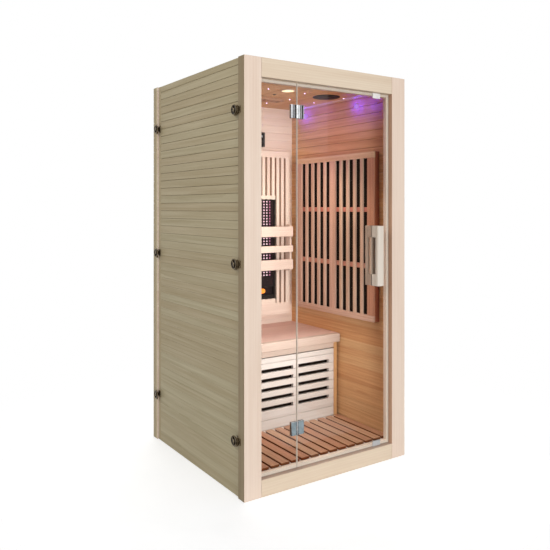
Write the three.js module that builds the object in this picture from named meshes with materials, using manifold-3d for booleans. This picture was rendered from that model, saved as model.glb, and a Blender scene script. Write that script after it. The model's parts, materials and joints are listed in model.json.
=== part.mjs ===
// Infrared sauna cabin for one person: buckled wooden panels, a glass front with a hinged door,
// slatted heater grilles on three walls, a bench with a slotted front, and a boarded ceiling.
// Millimetres. +Z is up, the glass front faces -Y, and the origin is on the ground under the middle.

import * as THREE from "three";
import { mergeVertices } from "three/addons/utils/BufferGeometryUtils.js";
import Module from "manifold-3d";

const wasm = await Module();
wasm.setup();

// Cabin
const CABIN_WIDTH = 950;
const CABIN_DEPTH = 950;
const CABIN_HEIGHT = 1900;
const PANEL_THICKNESS = 50;
const SIDE_THICKNESS = 50;
const SIDE_RECESS = 8.5;
const SEAT = 0.3; // gap between pieces that rest on each other
const EMBED = 1; // depth that joined shapes of one piece run into each other

// Boards and the battens behind them
const BOARD_THICKNESS = 12;
const OUTER_PITCH = 39.7;
const OUTER_TOP_BOARD = 31;
const LINING_PITCH = 45;
const LINING_TOP_BOARD = 20;
const LEAST_BOARD = 12;
const GROOVE_WIDTH = 3;
const GROOVE_DEPTH = 2.5;
const STUD_WIDTH = 40;
const EDGE_BATTEN = 26;

// Front frame and glass
const POST_WIDTH = 88;
const TOP_RAIL_HEIGHT = 85;
const BOTTOM_RAIL_HEIGHT = 75;
const LIP_WIDTH = 15;
const LIP_DEPTH = 20;
const GLASS_THICKNESS = 8;
const FIXED_PANE_WIDTH = 200;
const PANE_GAP = 4;
const PANE_EDGE_GAP = 3;

// Glass hinges
const HINGE_HEIGHT = 62;
const HINGE_LEAF_WIDTH = 31;
const HINGE_PLATE = 5;
const HINGE_SETBACK = 5; // from the axis to the leaf's near edge
const HINGE_KNUCKLE_RADIUS = 4;
const HINGE_PIN_RADIUS = 2;
const HINGE_RUNNING_GAP = 0.1;
const HINGE_BOSS_RADIUS = 7;
const UPPER_HINGE_DROP = 129; // from the panes' top to the hinge's middle
const LOWER_HINGE_RISE = 178; // from the panes' bottom to the hinge's middle

// Door handles, strikes and magnets
const HANDLE_WIDTH = 41;
const HANDLE_LENGTH = 294;
const HANDLE_BAR = 18;
const HANDLE_STANDOFF = 25;
const HANDLE_BLOCK = 57;
const HANDLE_GROOVE = 9; // depth of the finger grooves in the inner handle
const HANDLE_BACKING = 5; // wood left between the grooves and the glass
const HANDLE_EASE = 5; // radius of the outer corners
const HANDLE_FROM_EDGE = 93; // handle's middle to the door's closing edge
const HANDLE_MID_HEIGHT = 1014;
const HANDLE_STUD_RADIUS = 4;
const HANDLE_STUD_GAP = 1;
const STRIKE_WIDTH = 50;
const STRIKE_HEIGHT = 24;
const STRIKE_PLATE = 1.4;
const STRIKE_FROM_EDGE = 83;
const MAGNET_WIDTH = 32;
const MAGNET_HEIGHT = 9;
const MAGNET_DEPTH = 12;

// Panel latches: a hooked cam turns on a stud and draws a keeper on the next panel
const LATCH_RISES = [247, 1008]; // lower and middle studs above the ground
const LATCH_TOP_DROP = 228; // upper stud below the cabin's top
const LATCH_SETBACK = 14; // stud to the panel joint
const LATCH_BASE_WIDTH = 22;
const LATCH_BASE_HEIGHT = 36;
const LATCH_BASE = 3;
const LATCH_HUB_RADIUS = 8;
const LATCH_STUD_RADIUS = 4;
const LATCH_HEAD_RADIUS = 6.5;
const LATCH_HEAD = 2;
const LATCH_HOOK_INNER = 21;
const LATCH_HOOK_OUTER = 27;
const LATCH_HOOK = 7;
const LATCH_KNOB = 5;
const LATCH_KNOB_RADIUS = 22.5;
const LATCH_GRIP_WIDTH = 5;
const LATCH_GRIP_END_GAP = 3; // to the knob's rim
const LATCH_GRIP_ANGLE = 120;
const LATCH_HOOK_START = -105;
const LATCH_HOOK_WEB_END = -70;
const LATCH_HOOK_END = 45;
const KEEPER_LENGTH = 22;
const KEEPER_HEIGHT = 30;
const KEEPER_PLATE = 3;
const KEEPER_LIP = 4;
const KEEPER_LIP_HEIGHT = 14;
const LATCH_RUNNING_GAP = 0.8;
const LATCH_BORE_GAP = 0.25;

// Base and floor
const BASE_HEIGHT = 75;
const BASE_DECK = 18;
const BASE_SKID = 60;
const DUCKBOARD_PITCH = 56;
const DUCKBOARD_GAP = 11;
const DUCKBOARD_SLAT = 12;
const DUCKBOARD_BATTEN = 13;
const DUCKBOARD_BATTEN_WIDTH = 40;
const DUCKBOARD_FRONT_GAP = 5;

// Ceiling, roof and what is set into them
const CEILING_THICKNESS = 10;
const CEILING_PITCH = 90;
const ROOF_BOARD = 8;
const ROOF_BATTEN = 30;
const ROOF_HOLLOW = 32; // between the ceiling boards and the roof boards
const POWER_UNIT = { width: 200, depth: 120, topGap: 4, x: -180, y: 60 };
const SPEAKER = { sideGap: 124.5, y: -70, radius: 74, flange: 4, dome: 6, body: 60, depth: 26 };
const LAMP = { x: 11, y: -107, radius: 37, flange: 3, dome: 2, body: 30, depth: 20 };
const VENT_X = 75;
const VENT_Y = 150;
const VENT_LENGTH = 90;
const VENT_WIDTH = 44;
const VENT_LAP = 8;
const VENT_WALL = 15;
const VENT_RAIL = 10;
const VENT_SLIDE = 8;
const VENT_RAIL_LIP = 4;
const VENT_TRAVEL = 95;
const VENT_KNOB_RADIUS = 9;
const VENT_KNOB_HEIGHT = 12;

// Bench
const BENCH_HEIGHT = 552;
const BENCH_DEPTH = 470; // from the back wall to the nosing's front
const BENCH_BOARD = 22;
const BENCH_NOSING_HEIGHT = 47;
const BENCH_NOSING_DEPTH = 32;
const BENCH_NOSING_SIDE_GAP = 8;
const BENCH_NOSING_EASE = 7; // radius of the front edges
const BENCH_APRON_HEIGHT = 30;
const BENCH_APRON_DEPTH = 18;
const BENCH_CLEAT_HEIGHT = 40;
const BENCH_CLEAT_DEPTH = 30;
const BENCH_CLEAT_SIDE_GAP = 8;
const BENCH_POST_WIDTH = 23;
const BENCH_POST_DEPTH = 26;
const BENCH_POST_SIDE_GAP = 13.5;
const BENCH_PANEL_SETBACK = 20; // from the nosing's front to the panel's front
const BENCH_PANEL = 18;
const BENCH_PANEL_TOP_GAP = 8;
const BENCH_SLOT_HEIGHT = 19;
const BENCH_SLOT_PITCH = 48.75;
const BENCH_SLOT_ROWS = 5;
const BENCH_SLOT_COLUMNS = 3;
const BENCH_LOWEST_SLOT_RISE = 124; // above the base
const BENCH_MULLION = 34;
const BENCH_END_STILE = 34;
const BENCH_HEATER = { thickness: 6, standoff: 14, spacer: 12, inset: 24 };

// Heater grilles on the side walls
const GRILLE_FRONT_GAP = 75; // to the front panel
const GRILLE_BACK_GAP = 105; // to the back wall
const GRILLE_RISE = 108; // above the seat
const GRILLE_DROP = 310; // below the ceiling
const GRILLE_DEPTH = 40;
const GRILLE_FACE = 12;
const GRILLE_WALL = 18;
const GRILLE_STILE = 50;
const GRILLE_RAIL = 32;
const GRILLE_SLAT = 21;
const GRILLE_SLOTS = 5; // in each half
const GRILLE_CROSSBAR = 25;
const GRILLE_CROSSBAR_RISES = [285, 580]; // above the grille's bottom
const HEATER_THICKNESS = 8;
const HEATER_GAP = 4; // to the grille's walls

// Back grille, light units and backrest
const BACK_GRILLE_SIDE_GAP = 44.5; // to the side walls
const BACK_GRILLE_RISE = 57; // above the seat
const BACK_GRILLE_DROP = 262; // below the ceiling
const BACK_GRILLE_RAIL_TOP = 39;
const BACK_GRILLE_RAIL_BOTTOM = 69;
const BACK_GRILLE_SLAT = 20.5;
const BACK_GRILLE_GAP = 13.25;
const LIGHT_WIDTH = 194;
const LIGHT_END_GAP = 202; // from the unit's middle to the grille's end
const LIGHT_RISE = 97; // above the grille's bottom
const LIGHT_HEIGHT = 593;
const LIGHT_RIM = 8;
const LIGHT_RECESS = 5;
const LIGHT_SETBACK = 3; // behind the slats' faces
const LIGHT_GAP = 2;
const EMITTER_RADIUS = 7;
const EMITTER_RISE = 48; // above the light unit's bottom
const EMITTER_WELL_HEIGHT = 46;
const EMITTER_WELL_DEPTH = 18;
const BACKREST_END_GAP = 16; // short of the grille's end
const BACKREST_BOARDS = [[329, 390], [433, 472], [525, 586]]; // edges above the seat
const BACKREST_BOARD = 18;
const BACKREST_STANDOFF = 60; // from its face to the grille's face
const BACKREST_UPRIGHT_WIDTH = 12;
const BACKREST_UPRIGHT_OVERRUN = 10;
const BACKREST_UPRIGHT_INSET = 7; // from the boards' ends to the outer uprights' middles

// Control panel and colour lamps
const CONTROL = { x: 106, width: 200, rise: 24, height: 86, depth: 20, bezel: 9, recess: 3 };
const COLOUR_LAMP = { radius: 15, depth: 10, dome: 5, drop: 55, places: { front: -178, rear: 278 } };

const ROUND = 10; // sides of small round pieces
const WIDE_ROUND = 20; // sides of wide round pieces
const ARC_STEPS = 3; // pairs of steps in an arc of an outline

// Places that follow from the sizes above
const halfWidth = CABIN_WIDTH / 2;
const frontFace = -CABIN_DEPTH / 2;
const backFace = CABIN_DEPTH / 2;
const frontInside = frontFace + PANEL_THICKNESS;
const backInside = backFace - PANEL_THICKNESS;
const sideOutside = halfWidth - SIDE_RECESS;
const sideInside = sideOutside - SIDE_THICKNESS;
const openingHalf = halfWidth - POST_WIDTH;
const openingBottom = BOTTOM_RAIL_HEIGHT;
const openingTop = CABIN_HEIGHT - TOP_RAIL_HEIGHT;
const lipFace = frontInside - LIP_DEPTH;
const paneBack = lipFace - SEAT;
const paneFront = paneBack - GLASS_THICKNESS;
const paneBottom = openingBottom + PANE_EDGE_GAP;
const paneTop = openingTop - PANE_EDGE_GAP;
const fixedPaneLeft = -openingHalf + PANE_EDGE_GAP;
const fixedPaneRight = fixedPaneLeft + FIXED_PANE_WIDTH;
const doorLeft = fixedPaneRight + PANE_GAP;
const doorRight = openingHalf - PANE_EDGE_GAP;
const hingeX = (fixedPaneRight + doorLeft) / 2;
const hingeY = paneFront - SEAT - HINGE_PLATE;
const handleX = doorRight - HANDLE_FROM_EDGE;
const strikeX = doorRight - STRIKE_FROM_EDGE;
const latchY = backInside - LATCH_SETBACK;
const latchHeights = [...LATCH_RISES, CABIN_HEIGHT - LATCH_TOP_DROP];
const ceilingHeight = CABIN_HEIGHT - ROOF_BOARD - ROOF_HOLLOW - CEILING_THICKNESS;
const floorTop = BASE_HEIGHT + DUCKBOARD_BATTEN + DUCKBOARD_SLAT;
const benchFront = backInside - BENCH_DEPTH;
const benchSeatBottom = BENCH_HEIGHT - BENCH_BOARD;
const benchNosingBottom = BENCH_HEIGHT - BENCH_NOSING_HEIGHT;
const benchApronBottom = benchNosingBottom - BENCH_APRON_HEIGHT;
const benchLowestSlot = BASE_HEIGHT + BENCH_LOWEST_SLOT_RISE;
const benchPanelFront = benchFront + BENCH_PANEL_SETBACK;
const benchPanelBack = benchPanelFront + BENCH_PANEL;
const benchPanelTop = benchApronBottom - BENCH_PANEL_TOP_GAP;
const benchPostOuter = sideInside - BENCH_POST_SIDE_GAP;
const benchPostInner = benchPostOuter - BENCH_POST_WIDTH;
const grilleFace = sideInside - GRILLE_DEPTH;
const grilleFront = frontInside + GRILLE_FRONT_GAP;
const grilleBack = backInside - GRILLE_BACK_GAP;
const grilleBottom = BENCH_HEIGHT + GRILLE_RISE;
const grilleTop = ceilingHeight - GRILLE_DROP;
const backGrilleFace = backInside - GRILLE_DEPTH;
const backGrilleHalf = sideInside - BACK_GRILLE_SIDE_GAP;
const backGrilleBottom = BENCH_HEIGHT + BACK_GRILLE_RISE;
const backGrilleTop = ceilingHeight - BACK_GRILLE_DROP;
const lightMiddle = backGrilleHalf - LIGHT_END_GAP;
const lightBottom = backGrilleBottom + LIGHT_RISE;
const lightTop = lightBottom + LIGHT_HEIGHT;
const emitterHeight = lightBottom + EMITTER_RISE;

// Materials
const finish = (color, roughness, metalness = 0, opacity = 1) => () =>
  new THREE.MeshStandardMaterial({ color, roughness, metalness, opacity, transparent: opacity < 1 });
const outerWood = finish(0xb9a885, 0.75);
const frontWood = finish(0xe6d2b8, 0.65);
const innerWood = finish(0xd0a07c, 0.7);
const paleWood = finish(0xe8cdb0, 0.65);
const clearGlass = finish(0xdfeee6, 0.05, 0, 0.25);
const chrome = finish(0xd6dade, 0.12, 1);
const bronze = finish(0x3a3128, 0.4, 0.9);
const blackPlastic = finish(0x1a1a1c, 0.5);
const carbon = finish(0x101013, 0.6);
const whitePlastic = finish(0xf2efe6, 0.35);
const steel = finish(0xb9bcc0, 0.3, 1);

// Closed solid of a geometry, with its shared corners merged
function solid(geometry) {
  const bare = geometry.clone();
  bare.deleteAttribute("normal");
  bare.deleteAttribute("uv");
  const merged = mergeVertices(bare, 1e-4);
  return new wasm.Manifold(
    new wasm.Mesh({
      numProp: 3,
      vertProperties: new Float32Array(merged.attributes.position.array),
      triVerts: new Uint32Array(merged.index.array),
    }),
  );
}

// Geometry of a solid, with flat faces
function geometryOf(body) {
  const { vertProperties, triVerts } = body.getMesh();
  const indexed = new THREE.BufferGeometry();
  indexed.setAttribute("position", new THREE.BufferAttribute(Float32Array.from(vertProperties), 3));
  indexed.setIndex(new THREE.BufferAttribute(Uint32Array.from(triVerts), 1));
  const flat = indexed.toNonIndexed();
  flat.computeVertexNormals();
  return flat;
}

const joined = (...geometries) => geometryOf(geometries.map(solid).reduce((a, b) => a.add(b)));

const cut = (geometry, ...cutters) =>
  geometryOf(cutters.map(solid).reduce((body, cutter) => body.subtract(cutter), solid(geometry)));

// Block between two opposite corners, given in any order
function block(a, b) {
  const low = a.map((value, i) => Math.min(value, b[i]));
  const size = a.map((value, i) => Math.abs(value - b[i]));
  const middle = low.map((value, i) => value + size[i] / 2);
  return new THREE.BoxGeometry(...size).translate(...middle);
}

// Outlines swept along X from (y, z), along Y from (x, z) and along Z from (x, y)
function sweepZ(shape, from, to) {
  const options = { depth: to - from, bevelEnabled: false, curveSegments: ARC_STEPS };
  return new THREE.ExtrudeGeometry(shape, options).translate(0, 0, from);
}

const sweepY = (shape, from, to) => sweepZ(shape, -to, -from).rotateX(Math.PI / 2);

const toX = new THREE.Matrix4().set(0, 0, 1, 0, 1, 0, 0, 0, 0, 1, 0, 0, 0, 0, 0, 1);
const sweepX = (shape, from, to) => sweepZ(shape, from, to).applyMatrix4(toX);

function outline(points) {
  return new THREE.Shape(points.map(([a, b]) => new THREE.Vector2(a, b)));
}

// Round bars along each axis, by centre and span
const bar = (radius, from, to, sides) => new THREE.CylinderGeometry(radius, radius, to - from, sides);

const roundZ = (radius, [x, y], from, to, sides = ROUND) =>
  bar(radius, from, to, sides).rotateX(Math.PI / 2).translate(x, y, (from + to) / 2);

const roundY = (radius, [x, z], from, to, sides = ROUND) =>
  bar(radius, from, to, sides).translate(x, (from + to) / 2, z);

const roundX = (radius, [y, z], from, to, sides = ROUND) =>
  bar(radius, from, to, sides).rotateZ(Math.PI / 2).translate((from + to) / 2, y, z);

// Section of boards laid edge to edge, with a V joint between them on the face side
function boardSection(back, face, bottom, top, pitch, topBoard) {
  const joints = [];
  for (let height = top - topBoard; height - bottom > LEAST_BOARD; height -= pitch) {
    joints.unshift(height);
  }
  const valley = face + Math.sign(back - face) * GROOVE_DEPTH;
  const grooves = joints.flatMap((height) => [
    [face, height - GROOVE_WIDTH / 2],
    [valley, height],
    [face, height + GROOVE_WIDTH / 2],
  ]);
  return outline([[back, bottom], [face, bottom], ...grooves, [face, top], [back, top]]);
}

function piece(parent, name, geometry, material) {
  const mesh = new THREE.Mesh(geometry, material());
  mesh.name = name;
  parent.add(mesh);
  return mesh;
}

const cabin = new THREE.Group();
const SIDES = { left: -1, right: 1 };

// Levels of a latch above the side panel's face; the knob passes over the keeper's lip
const latchStack = {};
latchStack.hubBottom = LATCH_BASE + SEAT;
latchStack.hookBottom = SIDE_RECESS + KEEPER_PLATE + LATCH_RUNNING_GAP;
latchStack.hookTop = latchStack.hookBottom + LATCH_HOOK;
latchStack.knobBottom = latchStack.hookTop - EMBED;
latchStack.knobTop = latchStack.hookTop + LATCH_KNOB;
latchStack.lipTop = latchStack.knobBottom - LATCH_RUNNING_GAP;

// Fixed half of a latch, on the outer face of a side panel: base plate, stud and head.
// end is 1 at the rear joint and -1 at the front joint.
function latchBase(end, height) {
  const y = end * latchY;
  const top = sideOutside + latchStack.knobTop + SEAT;
  const halfBase = LATCH_BASE_WIDTH / 2;
  return [
    block(
      [sideOutside - EMBED, y - halfBase, height - LATCH_BASE_HEIGHT / 2],
      [sideOutside + LATCH_BASE, y + halfBase, height + LATCH_BASE_HEIGHT / 2],
    ),
    roundX(LATCH_STUD_RADIUS, [y, height], sideOutside, top + EMBED),
    roundX(LATCH_HEAD_RADIUS, [y, height], top, top + LATCH_HEAD),
  ];
}

// Keeper on the edge of the front or back panel: plate and lip that the hook draws
function latchKeeper(end, height, side = 1) {
  const joint = end * (backInside + SEAT);
  const face = side * halfWidth;
  const halfPlate = KEEPER_HEIGHT / 2;
  const halfLip = KEEPER_LIP_HEIGHT / 2;
  const lipTop = side * (sideOutside + latchStack.lipTop);
  return [
    block(
      [face - side * EMBED, joint, height - halfPlate],
      [face + side * KEEPER_PLATE, joint + end * KEEPER_LENGTH, height + halfPlate],
    ),
    block([face, joint, height - halfLip], [lipTop, joint + end * KEEPER_LIP, height + halfLip]),
  ];
}

// Turning half of a latch: hub, hook and round knob on one bored body, with its axis along X at the origin.
// A grip stands across the knob on both sides of the stud's head.
function latchCam() {
  const radians = THREE.MathUtils.degToRad;
  const polar = (radius, angle) => [radius * Math.cos(radians(angle)), radius * Math.sin(radians(angle))];

  const hook = new THREE.Shape();
  hook.moveTo(0, 0);
  hook.lineTo(...polar(LATCH_HOOK_OUTER, LATCH_HOOK_START));
  hook.absarc(0, 0, LATCH_HOOK_OUTER, radians(LATCH_HOOK_START), radians(LATCH_HOOK_END), false);
  hook.absarc(0, 0, LATCH_HOOK_INNER, radians(LATCH_HOOK_END), radians(LATCH_HOOK_WEB_END), true);
  hook.closePath();

  const { hubBottom, hookBottom, hookTop, knobBottom, knobTop } = latchStack;
  const gripHalf = LATCH_GRIP_WIDTH / 2;
  const gripStart = LATCH_HEAD_RADIUS + LATCH_RUNNING_GAP;
  const gripEnd = LATCH_KNOB_RADIUS - LATCH_GRIP_END_GAP;
  const grips = [0, 180].map((turn) =>
    block([knobTop - EMBED, gripStart, -gripHalf], [knobTop + LATCH_HEAD, gripEnd, gripHalf])
      .rotateX(radians(LATCH_GRIP_ANGLE + turn)),
  );
  return cut(
    joined(
      roundX(LATCH_HUB_RADIUS, [0, 0], hubBottom, knobTop),
      sweepX(hook, hookBottom, hookTop),
      roundX(LATCH_KNOB_RADIUS, [0, 0], knobBottom, knobTop, WIDE_ROUND),
      ...grips,
    ),
    roundX(LATCH_STUD_RADIUS + LATCH_BORE_GAP, [0, 0], hubBottom - EMBED, knobTop + EMBED),
  );
}

function latches() {
  const cam = latchCam();
  const levels = ["lower", "middle", "upper"];
  for (const [sideName, side] of Object.entries(SIDES)) {
    for (const [endName, end] of Object.entries({ front: -1, rear: 1 })) {
      latchHeights.forEach((height, i) => {
        const mesh = piece(cabin, `${sideName}_${endName}_${levels[i]}_latch`, cam, bronze);
        mesh.position.set(side * sideOutside, end * latchY, height);
        mesh.scale.set(side, end, 1);
      });
    }
  }
}

// Side walls: outer boards, and inner boards with the battens that carry both
function sideWalls() {
  const outer = boardSection(
    sideOutside - BOARD_THICKNESS, sideOutside, 0, CABIN_HEIGHT, OUTER_PITCH, OUTER_TOP_BOARD,
  );
  const inner = boardSection(
    sideInside + BOARD_THICKNESS, sideInside, 0, CABIN_HEIGHT, LINING_PITCH, LINING_TOP_BOARD,
  );
  const battenFrom = sideInside + BOARD_THICKNESS - EMBED;
  const battenTo = sideOutside - BOARD_THICKNESS;
  const stud = (y) => block([battenFrom, y, 0], [battenTo, y + STUD_WIDTH, CABIN_HEIGHT]);
  const rail = (z) => block([battenFrom, frontInside, z], [battenTo, backInside, z + STUD_WIDTH]);

  const cladding = joined(
    sweepY(outer, frontInside, backInside - EDGE_BATTEN),
    ...latchHeights.flatMap((height) => latchBase(-1, height)),
  );
  const lining = joined(
    sweepY(inner, frontInside, backInside),
    stud(frontInside),
    stud(-STUD_WIDTH / 2),
    rail(0),
    rail(CABIN_HEIGHT - STUD_WIDTH),
    block([battenFrom, backInside - EDGE_BATTEN, 0], [sideOutside, backInside, CABIN_HEIGHT]),
    ...latchHeights.flatMap((height) => latchBase(1, height)),
  );
  for (const [name, side] of Object.entries(SIDES)) {
    piece(cabin, `${name}_wall_cladding`, cladding, outerWood).scale.x = side;
    piece(cabin, `${name}_wall_lining`, lining, innerWood).scale.x = side;
  }
}

// Back wall, built as the side walls are, with the bench's rear cleat and the rear keepers
function backWall() {
  const outer = boardSection(
    backFace - BOARD_THICKNESS, backFace, 0, CABIN_HEIGHT, OUTER_PITCH, OUTER_TOP_BOARD,
  );
  const inner = boardSection(
    backInside + BOARD_THICKNESS, backInside, 0, CABIN_HEIGHT, LINING_PITCH, LINING_TOP_BOARD,
  );
  const battenFrom = backInside + BOARD_THICKNESS - EMBED;
  const battenTo = backFace - BOARD_THICKNESS;
  const stud = (x) => block([x, battenFrom, 0], [x + STUD_WIDTH, battenTo, CABIN_HEIGHT]);
  const rail = (z) => block([-halfWidth, battenFrom, z], [halfWidth, battenTo, z + STUD_WIDTH]);
  const keepers = Object.values(SIDES).flatMap((side) =>
    latchHeights.flatMap((height) => latchKeeper(1, height, side)),
  );
  const cleatHalf = sideInside - BENCH_CLEAT_SIDE_GAP;
  const cleatTop = benchSeatBottom - SEAT;
  const cleat = block(
    [-cleatHalf, backInside - BENCH_CLEAT_DEPTH, cleatTop - BENCH_CLEAT_HEIGHT],
    [cleatHalf, backInside + EMBED, cleatTop],
  );
  piece(cabin, "back_wall_cladding", sweepX(outer, -halfWidth, halfWidth), outerWood);
  piece(
    cabin,
    "back_wall_lining",
    joined(
      sweepX(inner, -halfWidth, halfWidth),
      stud(-halfWidth),
      stud(-STUD_WIDTH / 2),
      stud(halfWidth - STUD_WIDTH),
      rail(0),
      rail(CABIN_HEIGHT - STUD_WIDTH),
      cleat,
      ...keepers,
    ),
    innerWood,
  );
}

// Front frame: two posts and two rails, each with a lip that the glass closes against
function frontFrame() {
  const post = joined(
    block([openingHalf, frontFace, 0], [halfWidth, frontInside, CABIN_HEIGHT]),
    block([openingHalf - LIP_WIDTH, lipFace, openingBottom], [openingHalf + EMBED, frontInside, openingTop]),
    ...latchHeights.flatMap((height) => latchKeeper(-1, height)),
  );
  for (const [name, side] of Object.entries(SIDES)) {
    piece(cabin, `front_${name}_post`, post, frontWood).scale.x = side;
  }

  const lipHalf = openingHalf - LIP_WIDTH;
  const rail = (edge, far, lipEdge, magnetLow) =>
    cut(
      joined(
        block([-openingHalf, frontFace, edge], [openingHalf, frontInside, far]),
        block([-lipHalf, lipFace, lipEdge], [lipHalf, frontInside, edge + Math.sign(far - edge) * EMBED]),
      ),
      block(
        [strikeX - MAGNET_WIDTH / 2 - SEAT, lipFace - EMBED, magnetLow - SEAT],
        [strikeX + MAGNET_WIDTH / 2 + SEAT, lipFace + MAGNET_DEPTH + SEAT, magnetLow + MAGNET_HEIGHT + SEAT],
      ),
    );
  const magnetInset = (LIP_WIDTH - MAGNET_HEIGHT) / 2;
  const rails = {
    top: { edge: openingTop, far: CABIN_HEIGHT, lipEdge: openingTop - LIP_WIDTH },
    bottom: { edge: openingBottom, far: 0, lipEdge: openingBottom + LIP_WIDTH },
  };
  for (const [name, { edge, far, lipEdge }] of Object.entries(rails)) {
    const magnetLow = Math.min(edge, lipEdge) + magnetInset;
    piece(cabin, `front_${name}_rail`, rail(edge, far, lipEdge, magnetLow), frontWood);
    piece(
      cabin,
      `${name}_door_magnet`,
      block(
        [strikeX - MAGNET_WIDTH / 2, lipFace, magnetLow],
        [strikeX + MAGNET_WIDTH / 2, lipFace + MAGNET_DEPTH, magnetLow + MAGNET_HEIGHT],
      ),
      blackPlastic,
    );
  }
}

// One leaf of a glass hinge about its own axis: clamp plates each side of the pane, a boss through it,
// and the knuckles at the given spans. side is -1 for the fixed pane and 1 for the door.
function hingeLeaf(side, knuckles) {
  const near = side * HINGE_SETBACK;
  const far = side * (HINGE_SETBACK + HINGE_LEAF_WIDTH);
  const half = HINGE_HEIGHT / 2;
  const rear = HINGE_PLATE + SEAT + GLASS_THICKNESS + SEAT;
  return joined(
    block([near, 0, -half], [far, HINGE_PLATE, half]),
    block([near, rear, -half], [far, rear + HINGE_PLATE, half]),
    roundY(HINGE_BOSS_RADIUS, [(near + far) / 2, 0], HINGE_PLATE - EMBED, rear + EMBED),
    ...knuckles.flatMap(([from, to]) => [
      roundZ(HINGE_KNUCKLE_RADIUS, [0, 0], from, to),
      block([0, 0, from], [near + side * EMBED, HINGE_KNUCKLE_RADIUS, to]),
    ]),
  );
}

const hingeBossOffset = HINGE_SETBACK + HINGE_LEAF_WIDTH / 2;
const hingeHeights = { upper: paneTop - UPPER_HINGE_DROP, lower: paneBottom + LOWER_HINGE_RISE };
const bossHoles = (x) =>
  Object.values(hingeHeights).map((height) =>
    roundY(HINGE_BOSS_RADIUS + SEAT, [x, height], paneFront - EMBED, paneBack + EMBED),
  );

// Fixed pane with its hinge leaves, which carry the pins
function fixedPane() {
  const pane = block([fixedPaneLeft, paneFront, paneBottom], [fixedPaneRight, paneBack, paneTop]);
  piece(cabin, "fixed_glass", cut(pane, ...bossHoles(hingeX - hingeBossOffset)), clearGlass);

  const half = HINGE_HEIGHT / 2;
  const third = HINGE_HEIGHT / 6;
  const leaf = joined(
    hingeLeaf(-1, [[-half, -third - SEAT / 2], [third + SEAT / 2, half]]),
    roundZ(HINGE_PIN_RADIUS, [0, 0], -half + EMBED, half - EMBED),
  );
  for (const [name, height] of Object.entries(hingeHeights)) {
    piece(cabin, `${name}_hinge_fixed_leaf`, leaf, chrome).position.set(hingeX, hingeY, height);
  }
}

// Door, in a group whose Z axis is the hinge axis
function door() {
  const swing = new THREE.Group();
  swing.position.set(hingeX, hingeY, 0);
  cabin.add(swing);
  const local = (geometry) => geometry.translate(-hingeX, -hingeY, 0);

  const studHeights = [-1, 1].map((end) => HANDLE_MID_HEIGHT + (end * (HANDLE_LENGTH - HANDLE_BLOCK)) / 2);
  const studHoles = studHeights.map((height) =>
    roundY(HANDLE_STUD_RADIUS + HANDLE_STUD_GAP, [handleX, height], paneFront - EMBED, paneBack + EMBED),
  );
  const pane = block([doorLeft, paneFront, paneBottom], [doorRight, paneBack, paneTop]);
  const drilled = cut(pane, ...bossHoles(hingeX + hingeBossOffset), ...studHoles);
  piece(swing, "door_glass", local(drilled), clearGlass);

  const third = HINGE_HEIGHT / 6 - SEAT / 2;
  const bore = roundZ(HINGE_PIN_RADIUS + HINGE_RUNNING_GAP, [0, 0], -third - EMBED, third + EMBED);
  const leaf = cut(hingeLeaf(1, [[-third, third]]), bore);
  for (const [name, height] of Object.entries(hingeHeights)) {
    piece(swing, `${name}_hinge_door_leaf`, leaf, chrome).position.z = height;
  }

  // Handles cut from one board, y running away from the glass: grooved for the fingers inside, open outside
  const halfHandle = HANDLE_WIDTH / 2;
  const eased = HANDLE_STANDOFF + HANDLE_BAR - HANDLE_EASE;
  const outline = new THREE.Shape();
  outline.moveTo(0, 0);
  outline.lineTo(eased, 0);
  outline.absarc(eased, HANDLE_EASE, HANDLE_EASE, -Math.PI / 2, 0, false);
  outline.absarc(eased, HANDLE_LENGTH - HANDLE_EASE, HANDLE_EASE, 0, Math.PI / 2, false);
  outline.lineTo(0, HANDLE_LENGTH);
  outline.closePath();
  const handle = sweepX(outline, -halfHandle, halfHandle);
  const grip = (from, to, foot) =>
    block([from, foot, HANDLE_BLOCK], [to, HANDLE_STANDOFF, HANDLE_LENGTH - HANDLE_BLOCK]);
  const grooves = [-1, 1].map((side) =>
    grip(side * (halfHandle - HANDLE_GROOVE), side * (halfHandle + EMBED), HANDLE_BACKING),
  );
  const grooved = cut(handle, ...grooves)
    .translate(handleX, paneBack + SEAT, HANDLE_MID_HEIGHT - HANDLE_LENGTH / 2);
  piece(swing, "inner_handle", local(grooved), paleWood);

  const facing = cut(handle, grip(-halfHandle - EMBED, halfHandle + EMBED, -EMBED))
    .rotateZ(Math.PI)
    .translate(handleX, paneFront - SEAT, HANDLE_MID_HEIGHT - HANDLE_LENGTH / 2);
  const studs = studHeights.map((height) =>
    roundY(HANDLE_STUD_RADIUS, [handleX, height], paneFront - SEAT - EMBED, paneBack),
  );
  piece(swing, "outer_handle", local(joined(facing, ...studs)), paleWood);

  // Strike clips, folded over the top and bottom edges of the glass
  const clipFront = paneFront - SEAT - STRIKE_PLATE;
  const clip = (edge, way) =>
    joined(
      block(
        [strikeX - STRIKE_WIDTH / 2, clipFront, edge + way * (SEAT + STRIKE_PLATE)],
        [strikeX + STRIKE_WIDTH / 2, clipFront + STRIKE_PLATE, edge - way * STRIKE_HEIGHT],
      ),
      block(
        [strikeX - STRIKE_WIDTH / 2, clipFront, edge + way * SEAT],
        [strikeX + STRIKE_WIDTH / 2, paneBack - EMBED, edge + way * (SEAT + STRIKE_PLATE)],
      ),
    );
  piece(swing, "top_door_strike", local(clip(paneTop, 1)), steel);
  piece(swing, "bottom_door_strike", local(clip(paneBottom, -1)), steel);
}

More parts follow.
